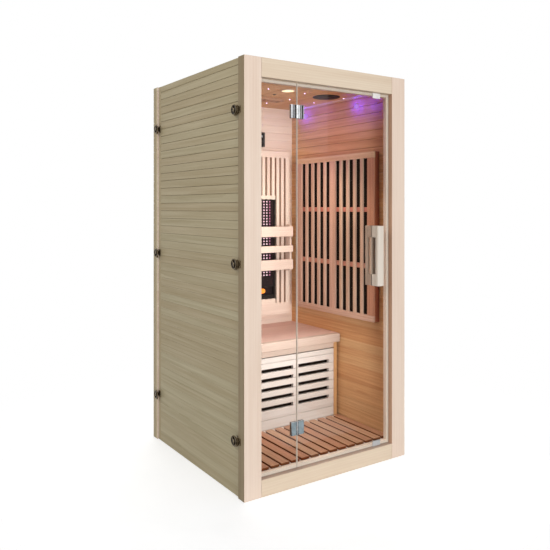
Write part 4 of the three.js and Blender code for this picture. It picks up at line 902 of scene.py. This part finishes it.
def ceiling_fittings():
    """Speaker with a pierced dome, lamp with a warm lens, and the small star lights."""
    low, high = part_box("ceiling_speaker")
    centre = (low + high) / 2
    radius = (high.x - low.x) / 2
    speaker = Work("ceiling_speaker_body", SPEAKER_BLACK, GLOSS_BLACK)
    speaker.turned(
        [(0.06, -0.01), (radius - 0.001, 0), (radius, 0.0012), (radius - 0.0008, 0.003), (radius - 0.004, 0.004),
         (radius - 0.007, 0.0032), (radius - 0.009, 0.0034), (0.055, 0.006), (0.03, 0.0085), (0, 0.0096)][::1],
        (centre.x, centre.y, CEILING), "z", 56,
    )
    speaker_part = speaker.points
    for point in speaker_part:
        point.z = 2 * CEILING - point.z - SEAT
    speaker.faces = [face[::-1] for face in speaker.faces]
    for ring in range(1, 7):
        count = 8 * ring
        for i in range(count):
            turn = 2 * math.pi * (i + 0.5 * (ring % 2)) / count
            r = 0.0092 * ring
            drop = 0.0096 * (1 - (r / 0.074) ** 2)
            speaker.turned(
                [(0.0021, 0.0004), (0.0021, -0.0005), (0.0013, -0.0005), (0.0011, 0.0002), (0, 0.0002)],
                (centre.x + r * math.cos(turn), centre.y + r * math.sin(turn), CEILING - SEAT - drop),
                "z", 8, material=1,
            )
    speaker.done("black_plastic", "ceiling_speaker")

    low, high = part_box("ceiling_lamp")
    centre = (low + high) / 2
    radius = (high.x - low.x) / 2
    lamp = Work("ceiling_lamp_lens", WHITE, WARM_LENS)
    top = CEILING - SEAT
    lamp.turned(
        [(radius - 0.006, -0.002), (radius - 0.004, -0.003), (radius - 0.001, -0.0024), (radius, -0.001),
         (radius, 0), (radius - 0.006, 0)],
        (centre.x, centre.y, top), "z", 48,
    )
    lens = radius - 0.0055
    dome = [(lens * math.sin(math.radians(a)), -0.002 - 0.002 * math.cos(math.radians(a))) for a in range(0, 91, 15)]
    lamp.turned([*dome, (lens, 0), (0, 0)], (centre.x, centre.y, top), "z", 48, material=1)
    lamp.done("white_plastic", "ceiling_lamp")

    stars = Work("star_lights", STAR_LENS, CHROME)
    for x, y in STAR_PLACES:
        stars.turned(
            [(0, -0.0028), (0.0016, -0.0026), (0.0026, -0.0016), (0.003, 0), (0, 0.0004)],
            (x, y, CEILING), "z", 16,
        )
        stars.turned(
            [(0.003, -0.0006), (0.0044, -0.0008), (0.005, 0), (0.003, 0.0002)], (x, y, CEILING), "z", 20, material=1,
        )
    stars.done("white_plastic")

    sensor = Work("ceiling_sensor", BLACK)
    sensor.turned(
        [(0, -0.0012), (0.005, -0.0014), (0.0066, -0.003), (0.0082, -0.0024), (0.0086, 0), (0, 0.0002)],
        (*SENSOR_PLACE, CEILING), "z", 24,
    )
    sensor.done("black_plastic")


SENSOR_PLACE = (0.016, 0.025)
STAR_PLACES = [
    (-0.102, -0.096), (0.042, -0.25), (0.128, -0.093), (0.173, 0.106), (0.352, 0.117), (0.4, -0.086),
    (0.135, 0.279), (-0.142, -0.26), (-0.3, 0.1), (-0.26, -0.12), (-0.36, 0.28), (0.3, -0.3),
]


def bench():
    """Seat boards with a round nosing and an apron, the slotted front, and its corner posts."""
    low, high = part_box("bench_seat")
    front_low, front_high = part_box("bench_front_grille")
    post_low, post_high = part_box("bench_right_post")
    top = high.z
    nosing_back = low.y + 0.032
    nosing_low = post_high.z
    seat = Work("bench_seat_wood", SEAT_WOOD, NOSING_WOOD)
    depth = high.y - nosing_back
    for i in range(4):
        seat.board(
            (low.x, nosing_back + depth * i / 4 + 0.0002, top - 0.022),
            (high.x, nosing_back + depth * (i + 1) / 4 - 0.0002, top), "x", 0.0008,
        )
    half = SIDE_INSIDE - 0.008
    ease = 0.007
    nosing = [
        (nosing_back, nosing_low), (nosing_back, top),
        *arc((low.y + ease, top - ease), ease, 90, 180, 6),
        *arc((low.y + ease, nosing_low + ease), ease, 180, 270, 6),
    ]
    seat.prism(nosing, "x", -half, half, 0.0014, along="x", material=1, tone=0.7)
    seat.board((front_low.x, front_low.y, low.z), (front_high.x, front_low.y + 0.018, nosing_low), "x", 0.001,
               material=1, tone=0.9)
    seat.done("pale_wood", "bench_seat")

    for name, side in SIDES.items():
        post = Work(f"bench_{name}_post_wood", CORNER_WOOD, side=side)
        post.board(post_low, post_high, "z", 0.0015, tone=0.25)
        post.done("pale_wood", f"bench_{name}_post")
    bench_front(front_low, front_high + Vector((0, 0, FRONT_RISE)))


FRONT_RISE = 0.004
SLOT_RISE = 0.124
SLOT_PITCH = 0.04875
SLOT_HEIGHT = 0.019
SLOT_ROWS = 5
SLOT_COLUMNS = 3
SLOT_STILE = 0.034


def bench_front(low, high):
    """Slotted bench front: each board between two joints has its row of slots cut from its lower edge."""
    front = Work("bench_front_boards", BENCH_WOOD)
    clear = high.x - low.x - (SLOT_COLUMNS + 1) * SLOT_STILE
    width = clear / SLOT_COLUMNS
    lefts = [low.x + SLOT_STILE + i * (width + SLOT_STILE) for i in range(SLOT_COLUMNS)]
    lowest = low.z + SLOT_RISE
    levels = [lowest + row * SLOT_PITCH for row in range(-2, SLOT_ROWS + 2)]
    levels = [low.z, *[z for z in levels if low.z + 0.012 < z < high.z - 0.012], high.z]
    for bottom, top in zip(levels, levels[1:]):
        slotted = any(abs(bottom - (lowest + row * SLOT_PITCH)) < 1e-6 for row in range(SLOT_ROWS))
        foot, head = bottom + WALL_GAP / 2, top - WALL_GAP / 2
        if not slotted:
            front.board((low.x, low.y, foot), (high.x, high.y, head), "x", BOARD_EASE)
            continue
        comb = [(low.x, head), (low.x, foot)]
        for left in lefts:
            slot_top = bottom + SLOT_HEIGHT
            comb += [(left, foot), (left, slot_top), (left + width, slot_top), (left + width, foot)]
        comb += [(high.x, foot), (high.x, head)]
        front.prism(comb, "y", low.y, high.y, 0.0012, along="x")
    front.done("pale_wood", "bench_front_grille")


GRILLE_FACE = 0.012
GRILLE_WALL = 0.018
GRILLE_STILE = 0.05
GRILLE_RAIL = 0.032
GRILLE_SLAT = 0.021
GRILLE_SLOTS = 5
CROSSBAR = 0.025
CROSSBAR_RISES = (0.285, 0.58)


def side_grilles():
    """Heater grilles: a frame, two fields of slats and crossbars behind them, on box walls."""
    low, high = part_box("right_heater_grille")
    middle = (low.y + high.y) / 2
    field = middle - GRILLE_STILE / 2 - (low.y + GRILLE_STILE)
    gap = (field - (GRILLE_SLOTS - 1) * GRILLE_SLAT) / GRILLE_SLOTS
    for name, side in SIDES.items():
        grille = Work(f"{name}_grille_wood", GRILLE_WOOD, CROSSBAR_WOOD, BOX_SHADE_WOOD, RAIL_WOOD, STILE_WOOD, TAN_WOOD,
                      side=side)
        face = (low.x, low.x + GRILLE_FACE)
        rail_top, rail_low = high.z - GRILLE_RAIL, low.z + GRILLE_RAIL
        for y, wood_slot in ((low.y, 4), (middle - GRILLE_STILE / 2, 0), (high.y - GRILLE_STILE, 0)):
            grille.board((face[0], y, rail_low), (face[1], y + GRILLE_STILE, rail_top), "z", 0.002, wood_slot)
        for z, wood_slot in ((low.z, 0), (rail_top, 3)):
            grille.board((face[0], low.y, z), (face[1], high.y, z + GRILLE_RAIL), "y", 0.002, wood_slot)
        for start, wood_slot in ((low.y + GRILLE_STILE, 5), (middle + GRILLE_STILE / 2, 0)):
            for i in range(GRILLE_SLOTS - 1):
                y = start + gap + i * (gap + GRILLE_SLAT)
                grille.board((face[0] + 0.0006, y, rail_low - 0.004), (face[1], y + GRILLE_SLAT, rail_top + 0.004),
                             "z", 0.0024, wood_slot, rng.uniform(0.4, 1.0))
        for rise in CROSSBAR_RISES:
            z = low.z + rise
            grille.board((face[1], low.y + GRILLE_WALL, z - CROSSBAR / 2),
                         (face[1] + GRILLE_FACE, high.y - GRILLE_WALL, z + CROSSBAR / 2), "y", 0.0015, material=1)
        # Box walls in the darker wood: partly their own colour, partly painted shade
        for y in (low.y, high.y - GRILLE_WALL):
            grille.board((face[1], y, low.z), (high.x, y + GRILLE_WALL, high.z), "z", material=2)
        for z in (low.z, high.z - GRILLE_WALL):
            grille.board((face[1], low.y + GRILLE_WALL, z), (high.x, high.y - GRILLE_WALL, z + GRILLE_WALL), "y", material=2)
        grille.done("inner_wood", f"{name}_heater_grille")


BACK_SLAT = 0.0205
BACK_GAP = 0.01325
BACK_RAIL_TOP = 0.039
BACK_RAIL_BOTTOM = 0.069


def back_grille():
    """Back grille of close slats, with a framed window for each light unit."""
    low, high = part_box("back_grille")
    windows = []
    for name in SIDES:
        unit_low, unit_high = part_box(f"{name}_light_unit")
        windows.append((unit_low.x - 0.002, unit_high.x + 0.002, unit_low.z - 0.002, unit_high.z + 0.002))
    face = (low.y, low.y + GRILLE_FACE)
    slot_low, slot_high = low.z + BACK_RAIL_BOTTOM, high.z - BACK_RAIL_TOP
    grille = Work("back_grille_wood", PALE_WOOD, SLOT_SHADE_WOOD)
    grille.board((low.x, face[0], slot_high), (high.x, face[1], high.z), "x", 0.0015)
    grille.board((low.x, face[0], low.z), (high.x, face[1], slot_low), "x", 0.0015)
    pitch = BACK_SLAT + BACK_GAP
    per_side = math.floor((high.x - GRILLE_WALL - BACK_GAP / 2) / pitch)
    gaps = [(i * pitch - BACK_GAP / 2, i * pitch + BACK_GAP / 2) for i in range(-per_side, per_side + 1)]
    edges = [low.x, *(x for gap in gaps for x in gap), high.x]
    for left, right in zip(edges[::2], edges[1::2]):
        at = [w for w in windows if right > w[0] + 0.001 and left < w[1] - 0.001]
        spans = [(slot_low, at[0][2]), (at[0][3], slot_high)] if at else [(slot_low, slot_high)]
        tone = rng.uniform(0.3, 1)
        for bottom, top in spans:
            grille.board((left, face[0] + 0.0004, bottom - 0.003), (right, face[1], top + 0.003), "z", 0.0018, tone=tone)
    # Dark strips just behind the gaps: painted shade
    for left, right in gaps:
        at = [w for w in windows if right > w[0] - SLOT_LAP and left < w[1] + SLOT_LAP]
        spans = [(slot_low, at[0][2] - SLOT_LAP), (at[0][3] + SLOT_LAP, slot_high)] if at else [(slot_low, slot_high)]
        for bottom, top in spans:
            grille.board((left - SLOT_LAP, face[1] + 0.001, bottom), (right + SLOT_LAP, face[1] + 0.003, top), "z", 0.0004, material=1)
    for left, right, _, top in windows:
        grille.board((left, face[0], top), (right, face[1], top + BACK_SLAT), "x", 0.0015)
        grille.board((left, face[0] + 0.0002, slot_low - 0.004), (right, face[1], windows[0][2]), "x", 0.0015)
    for x in (low.x, high.x - GRILLE_WALL):
        grille.board((x, face[1], low.z), (x + GRILLE_WALL, high.y, high.z), "z")
    for z in (low.z, high.z - GRILLE_WALL):
        grille.board((low.x + GRILLE_WALL, face[1], z), (high.x - GRILLE_WALL, high.y, z + GRILLE_WALL), "x")
    grille.done("pale_wood", "back_grille")


SLOT_LAP = 0.004
DIODE_COLUMNS = 7
DIODE_ROWS = 27
DIODE_PITCH = (0.0205, 0.0168)
DIODE = [(0.0042, 0), (0.0042, -0.0008), (0.003, -0.0026), (0, -0.0034)]
EMBER_HALF = (0.033, 0.014)



def light_units():
    """Dark light units: a rimmed face with rows of red diodes, and a well with a glowing lens below."""
    for name in SIDES:
        low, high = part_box(f"{name}_light_unit")
        rim = 0.008
        well_low, well_high = low.z + 0.025, low.z + 0.071
        field_low, field_high = well_high + rim, high.z - rim
        unit = Work(f"{name}_light_panel", SPEAKER_BLACK, DIODE_GROUND, BRIGHT_DIODE, EMBER_LENS, WEAK_DIODE)
        unit.board((low.x, low.y, low.z), (low.x + rim, high.y, high.z), "z", 0.001)
        unit.board((high.x - rim, low.y, low.z), (high.x, high.y, high.z), "z", 0.001)
        for bottom, top in ((low.z, well_low), (well_high, field_low), (field_high, high.z)):
            unit.board((low.x + rim, low.y, bottom), (high.x - rim, high.y, top), "x", 0.001)
        unit.board((low.x + rim, low.y + 0.005, field_low), (high.x - rim, high.y, field_high), "z", 0.0003, material=1)
        unit.board((low.x + rim, low.y + 0.018, well_low), (high.x - rim, high.y, well_high), "x", 0.0003, material=1)
        middle = (low.x + high.x) / 2
        for column in range(DIODE_COLUMNS):
            x = middle + (column - (DIODE_COLUMNS - 1) / 2) * DIODE_PITCH[0]
            lens = 4 if column in (0, DIODE_COLUMNS - 1) else 2
            for row in range(DIODE_ROWS):
                centre = (x, low.y + 0.005, field_high - 0.006 - row * DIODE_PITCH[1])
                unit.turned(DIODE, centre, "y", 12, material=lens)
        ember = (middle, (well_low + well_high) / 2)
        corners = [[c + way * half for c, half in zip(ember, EMBER_HALF)] for way in (-1, 1)]
        unit.prism(round_rect(*corners, EMBER_HALF[1]), "y", low.y + 0.008, low.y + 0.019, 0.005, material=3)
        unit.done("black_plastic", f"{name}_light_unit")


BACKREST_BOARD = 0.018
BACKREST_UPRIGHT = 0.012
BACKREST_LEVELS = ((0.01, 0.071), (0.114, 0.153), (0.206, 0.267))


def backrest():
    """Three boards on uprights in front of the back grille."""
    low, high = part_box("backrest")
    rest = Work("backrest_wood", PALE_WOOD)
    for bottom, top in BACKREST_LEVELS:
        rest.board((low.x, low.y, low.z + bottom), (high.x, low.y + BACKREST_BOARD, low.z + top), "x", 0.004, steps=3)
    reach = high.x - 0.007
    for x in (-reach, 0, reach):
        rest.board((x - BACKREST_UPRIGHT / 2, low.y + BACKREST_BOARD, low.z),
                   (x + BACKREST_UPRIGHT / 2, high.y, high.z), "z", 0.0015)
    rest.done("pale_wood", "backrest")


def controls():
    """Control panel with a lit display and flush touch keys, and two colour lamps on the right wall."""
    low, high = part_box("control_panel")
    panel = Work("control_panel_body", BLACK, GLOSS_BLACK, DISPLAY)
    bezel = 0.009
    panel.prism(round_rect((low.x, low.z), (high.x, high.z), 0.006), "y", low.y + 0.003, high.y, 0.0012)
    outer = (low.x, low.z, high.x, high.z)
    panel.board((outer[0], low.y, outer[1]), (outer[0] + bezel, low.y + 0.004, outer[3]), "z", 0.001)
    panel.board((outer[2] - bezel, low.y, outer[1]), (outer[2], low.y + 0.004, outer[3]), "z", 0.001)
    panel.board((outer[0] + bezel, low.y, outer[1]), (outer[2] - bezel, low.y + 0.004, outer[1] + bezel), "x", 0.001)
    panel.board((outer[0] + bezel, low.y, outer[3] - bezel), (outer[2] - bezel, low.y + 0.004, outer[3]), "x", 0.001)
    panel.board((low.x + bezel, low.y + 0.0026, low.z + bezel), (high.x - bezel, low.y + 0.004, high.z - bezel), "x",
                0.0002, material=1)
    panel.board((low.x + 0.016, low.y + 0.0022, high.z - 0.03), (high.x - 0.016, low.y + 0.003, high.z - 0.018), "x",
                0.0003, material=2)
    for i in range(6):
        panel.turned(
            [(0.0055, 0.0004), (0.0055, -0.0002), (0.0047, -0.0006), (0, -0.0006)],
            (low.x + 0.032 + i * 0.0272, low.y + 0.0026, low.z + 0.024), "y", 20, material=0,
        )
    panel.done("black_plastic", "control_panel")

    for name in ("front", "rear"):
        low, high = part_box(f"{name}_colour_lamp")
        centre = (low + high) / 2
        lamp = Work(f"{name}_colour_lamp_lens", VIOLET_LENS, VIOLET_LENS)
        wall = high.x
        lamp.turned([(0.0135, -0.0102), (0.015, -0.009), (0.015, 0), (0, 0)], (wall, centre.y, centre.z), "x", 32)
        dome = [(0.0135 * math.sin(math.radians(a)), -0.0095 - 0.0052 * math.cos(math.radians(a))) for a in range(0, 91, 15)]
        lamp.turned([*dome, (0, -0.009)], (wall, centre.y, centre.z), "x", 32, material=1)
        lamp.done("white_plastic", f"{name}_colour_lamp")


def carried_over():
    """Materials of the nodes whose plain shape is right: inner pieces behind grilles and boards."""
    plain = {
        "base_panel": plain_wood("base_wood", srgb(144, 88, 52), srgb(108, 62, 36)),
        "power_unit": BLACK,
        "top_door_magnet": BLACK,
        "bottom_door_magnet": BLACK,
        "bench_heater": CARBON,
        "left_heater": CARBON,
        "right_heater": CARBON,
    }
    for node, material in plain.items():
        mesh = frame["nodes"][node].data
        mesh.materials.clear()
        mesh.materials.append(material)


def plain_wood(name, pale, deep):
    """Sheet wood with its grain along Y, for a node with no boards."""
    tree = Tree(name)
    place = own_place(tree)
    streaks = tree.noise(tree.stretched(place, (70, 2, 70)), detail=4)
    fibres = tree.noise(tree.stretched(place, (500, 10, 500)), detail=2)
    mixed = tree.sum((streaks, 0.7), (fibres, 0.3))
    tree.set(Base_Color=tree.ramp(mixed, (0.35, pale), (0.7, deep)), Roughness=tree.span(streaks, 0.5, 0.7))
    tree.bump(fibres, 0.2, 0.0005)
    return tree.material


def stage():
    """A pale floor that fades into the white surround."""
    mesh = bpy.data.meshes.new("floor")
    reach = 4.5
    mesh.from_pydata([(-reach, -reach, 0), (reach, -reach, 0), (reach, reach, 0), (-reach, reach, 0)], [], [(0, 1, 2, 3)])
    tree = Tree("floor_sheet")
    place = own_place(tree)
    distance = tree.add("VectorMath", {0: place}, operation="LENGTH").outputs["Value"]
    fade = tree.add(
        "MapRange", {"Value": distance, "From Min": 0.55, "From Max": 1.9, "To Min": 0, "To Max": 1},
        interpolation_type="SMOOTHSTEP",
    ).outputs["Result"]
    mottle = tree.noise(place, scale=6, detail=4)
    tree.set(Base_Color=tree.ramp(mottle, (0.3, (0.6, 0.6, 0.6, 1)), (0.7, (0.64, 0.64, 0.64, 1))), Roughness=0.7)
    path = tree.add("LightPath")
    seen = path.outputs["Is Camera Ray"]
    for kind in ("Is Glossy Ray", "Is Transmission Ray"):
        seen = tree.add("Math", {0: seen, 1: path.outputs[kind]}, operation="MAXIMUM").outputs[0]
    unscattered = tree.add("Math", {0: path.outputs["Diffuse Depth"], 1: 0.5}, operation="LESS_THAN").outputs[0]
    seen = tree.add("Math", {0: seen, 1: unscattered}, operation="MULTIPLY").outputs[0]
    lift = tree.add("Math", {0: seen, 1: FLOOR_LIFT}, operation="MULTIPLY").outputs[0]
    tree.set(Emission_Color=(1, 1, 1, 1), Emission_Strength=lift)
    clear = tree.add("BsdfTransparent").outputs[0]
    mixed = tree.add("MixShader", {0: fade, 1: tree.shader.outputs[0], 2: clear}).outputs[0]
    tree.put(tree.nodes["Material Output"].inputs["Surface"], mixed)
    mesh.materials.append(tree.material)
    made = bpy.data.objects.new("floor", mesh)
    bpy.context.scene.collection.objects.link(made)
    studio_cards()


def studio_cards():
    """Cards to the front right, upright and on the floor, seen only as reflections in glass and metal."""
    for name, card in CARDS.items():
        (left, right), (near, far), (bottom, top) = card["x"], card["y"], card["z"]
        corners = [(left, near, bottom), (right, near, bottom), (right, far, top), (left, far, top)]
        tree = Tree(f"{name}_cloth")
        weave = tree.noise(own_place(tree), scale=3, detail=2)
        tree.set(Base_Color=(0, 0, 0, 1), Roughness=1.0, Specular_IOR_Level=0.0)
        tree.set(Emission_Color=card["tint"], Emission_Strength=tree.span(weave, *card["glow"]))
        reflections = tree.add("LightPath").outputs["Glossy Depth"]
        mirrored = tree.add("Math", {0: reflections, 1: 0.5}, operation="GREATER_THAN").outputs[0]
        clear = tree.add("BsdfTransparent").outputs[0]
        mixed = tree.add("MixShader", {0: mirrored, 1: clear, 2: tree.shader.outputs[0]}).outputs[0]
        tree.put(tree.nodes["Material Output"].inputs["Surface"], mixed)
        mesh = bpy.data.meshes.new(name)
        mesh.from_pydata(corners, [], [(0, 1, 2, 3)])
        mesh.materials.append(tree.material)
        made = bpy.data.objects.new(name, mesh)
        made.visible_camera = made.visible_diffuse = made.visible_shadow = False
        bpy.context.scene.collection.objects.link(made)


def surround():
    """White to the eye, in metal and through glass, and a plain soft light on the cabin."""
    world = bpy.data.worlds.new("surround")
    world.use_nodes = True
    bpy.context.scene.world = world
    nodes, links = world.node_tree.nodes, world.node_tree.links
    path = nodes.new("ShaderNodeLightPath").outputs

    def maths(operation, *values):
        node = nodes.new("ShaderNodeMath")
        node.operation = operation
        for socket, value in zip(node.inputs, values):
            if isinstance(value, float):
                socket.default_value = value
            else:
                links.new(value, socket)
        return node.outputs[0]

    def light(colour, strength):
        node = nodes.new("ShaderNodeBackground")
        node.inputs["Color"].default_value = colour
        if isinstance(strength, float):
            node.inputs["Strength"].default_value = strength
        else:
            links.new(strength, node.inputs["Strength"])
        return node.outputs[0]

    through = path["Is Transmission Ray"]
    unscattered = maths("LESS_THAN", path["Diffuse Depth"], 0.5)
    seen = maths("MAXIMUM", path["Is Camera Ray"], maths("MAXIMUM", path["Is Glossy Ray"], through))
    # The glass lets shadow rays through, so a scattered ray behind it has this light already
    counted = maths("MULTIPLY", through, maths("SUBTRACT", 1.0, unscattered))
    mix = nodes.new("ShaderNodeMixShader")
    links.new(maths("MULTIPLY", seen, unscattered), mix.inputs[0])
    links.new(light((0.96, 0.98, 1, 1), maths("MULTIPLY", maths("SUBTRACT", 1.0, counted), AMBIENT)), mix.inputs[1])
    links.new(light((1, 1, 1, 1), 1.0), mix.inputs[2])
    links.new(mix.outputs[0], nodes["World Output"].inputs["Surface"])


AMBIENT = 0.38
FLOOR_LIFT = 0.6
CARDS = {
    "flag": {"x": (1.95, 5.0), "y": (-4.6, -4.6), "z": (-0.2, 3.4), "glow": (0.03, 0.06), "tint": (1, 0.85, 0.75, 1)},
    "hinge_card": {"x": (2.3, 3.3), "y": (-4.55, -4.55), "z": (1.95, 3.0), "glow": (0.45, 0.55), "tint": (1, 0.96, 0.97, 1)},
    "floor_flag": {"x": (-0.7, 5.0), "y": (-4.6, -0.56), "z": (0.012, 0.012), "glow": (0.04, 0.07),
                   "tint": (1, 0.85, 0.75, 1)},
    "floor_card": {"x": (0.02, 0.5), "y": (-1.35, -0.8), "z": (0.016, 0.016), "glow": (0.42, 0.5),
                   "tint": (0.8, 0.95, 1, 1)},
}
KEY = {"place": (-0.8, -7.0, 1.1), "aim": (0, 0, 0.95), "size": (3.4, 2.2), "power": 268, "colour": (1, 0.985, 0.97)}
FILL = {"place": (-3.4, -1.2, 3.0), "aim": (-0.4, 0, 1.2), "size": (2.4, 2.0), "power": 29, "colour": (1, 0.99, 0.95)}
SIDE_FILL = {"place": (3.6, 1.4, 2.4), "aim": (0.4, 0.1, 0.9), "size": (2.4, 2.0), "power": 42, "colour": (1, 0.99, 0.95)}
BACK_FILL = {"place": (1.0, 3.8, 2.4), "aim": (0, 0.4, 0.9), "size": (2.4, 2.0), "power": 42, "colour": (1, 0.99, 0.95)}
CABIN_LAMP = {"power": 2.2, "colour": (1, 0.82, 0.66), "drop": 0.4, "aim": (0.12, 0.25, 0.55), "size": (0.4, 0.4)}
WINDOW_LIGHT = {"place": (-0.02, -0.39, 1.03), "aim": (-0.02, 0.4, 1.03), "size": (0.72, 1.5), "power": 4.1,
                "colour": (1, 0.975, 0.95), "spread": 2.3}
FLOOR_LIGHT = {"place": (0, -0.29, 1.25), "aim": (0, -0.29, 0), "size": (0.6, 0.2), "power": 1.2, "colour": (1, 0.975, 0.95),
               "spread": 1.2}
# Glow of the colour lamps on the right wall: place along the wall, height, distance from it and power
VIOLET_GLOWS = (
    (-0.178, 1.795, 0.06, 0.055), (0.278, 1.795, 0.06, 0.055),
    (-0.2, 1.795, 0.13, 0.1), (-0.32, 1.79, 0.1, 0.07), (0.25, 1.8, 0.13, 0.1), (0.09, 1.81, 0.12, 0.04),
)
VIOLET = (0.06, 0.02, 1.0)
WASHES = {
    "violet_wash": {"place": (0.22, -0.06, 1.74), "aim": (0.43, -0.06, 1.75), "size": (0.55, 0.12), "power": 0.07,
                    "colour": (0.2, 0.05, 1)},
    "pink_wash": {"place": (0.1, 0.0, 1.6), "aim": (0.43, 0.0, 1.6), "size": (0.6, 0.25), "power": 0.17,
                  "colour": (0.85, 0.27, 0.85)},
}




def area_light(name, place, aim, size, power, colour, glossy=True, spread=math.pi):
    data = bpy.data.lights.new(name, "AREA")
    data.shape = "RECTANGLE"
    data.size, data.size_y = size
    data.energy, data.color, data.spread = power, colour, spread
    made = bpy.data.objects.new(name, data)
    made.location = place
    made.rotation_euler = (Vector(aim) - Vector(place)).to_track_quat("-Z", "Y").to_euler()
    made.visible_camera = made.visible_transmission = False
    made.visible_glossy = glossy
    bpy.context.scene.collection.objects.link(made)


def lights():
    """Soft studio light from the front right, a weak fill, and the cabin's own lamps."""
    area_light("key", **KEY, glossy=False)
    area_light("fill", **FILL)
    area_light("side_fill", **SIDE_FILL)
    area_light("back_fill", **BACK_FILL)
    area_light("window_light", **WINDOW_LIGHT)
    area_light("floor_light", **FLOOR_LIGHT, glossy=False)
    low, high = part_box("ceiling_lamp")
    centre = (low + high) / 2
    area_light("cabin_lamp", (centre.x, centre.y, low.z - CABIN_LAMP["drop"]), CABIN_LAMP["aim"], CABIN_LAMP["size"],
               CABIN_LAMP["power"], CABIN_LAMP["colour"])
    for i, (y, z, reach, power) in enumerate(VIOLET_GLOWS):
        area_light(f"violet_{i}", (SIDE_INSIDE - reach, y, z), (SIDE_INSIDE, y, z), (0.03, 0.03), power, VIOLET, False, 2)
    for name, wash in WASHES.items():
        area_light(name, **wash, glossy=False, spread=2)


# Camera of the photograph: a level view, shifted down, in pixels of the 550 x 550 frame
FRAME_PIXELS = 550
FOCAL_PIXELS = 639.97
AXIS_PIXEL = (270.18, 207.28)
CAMERA_PLACE = (-1.8875, -2.789, 1.25185)
CAMERA_TURN = math.degrees(0.5887)


def camera():
    data = bpy.data.cameras.new("camera")
    data.sensor_width = 36
    data.lens = FOCAL_PIXELS * data.sensor_width / FRAME_PIXELS
    data.shift_x = (FRAME_PIXELS / 2 - AXIS_PIXEL[0]) / FRAME_PIXELS
    data.shift_y = (AXIS_PIXEL[1] - FRAME_PIXELS / 2) / FRAME_PIXELS
    made = bpy.data.objects.new("camera", data)
    made.location = CAMERA_PLACE
    made.rotation_euler = (math.radians(90), 0, -math.radians(CAMERA_TURN))
    bpy.context.scene.collection.objects.link(made)
    bpy.context.scene.camera = made


camera()
side_walls()
back_wall()
front_frame()
latch_hardware()
latch_cams()
pane("fixed_pane", "fixed_glass", "cabin")
pane("door_pane", "door_glass", "door")
hinges()
handles()
strikes()
floor_boards()
ceiling_and_roof()
vent()
ceiling_fittings()
bench()
side_grilles()
back_grille()
light_units()
backrest()
controls()
corner_beads()
carried_over()
stage()
surround()
lights()
bpy.context.scene.view_settings.view_transform = "Standard"
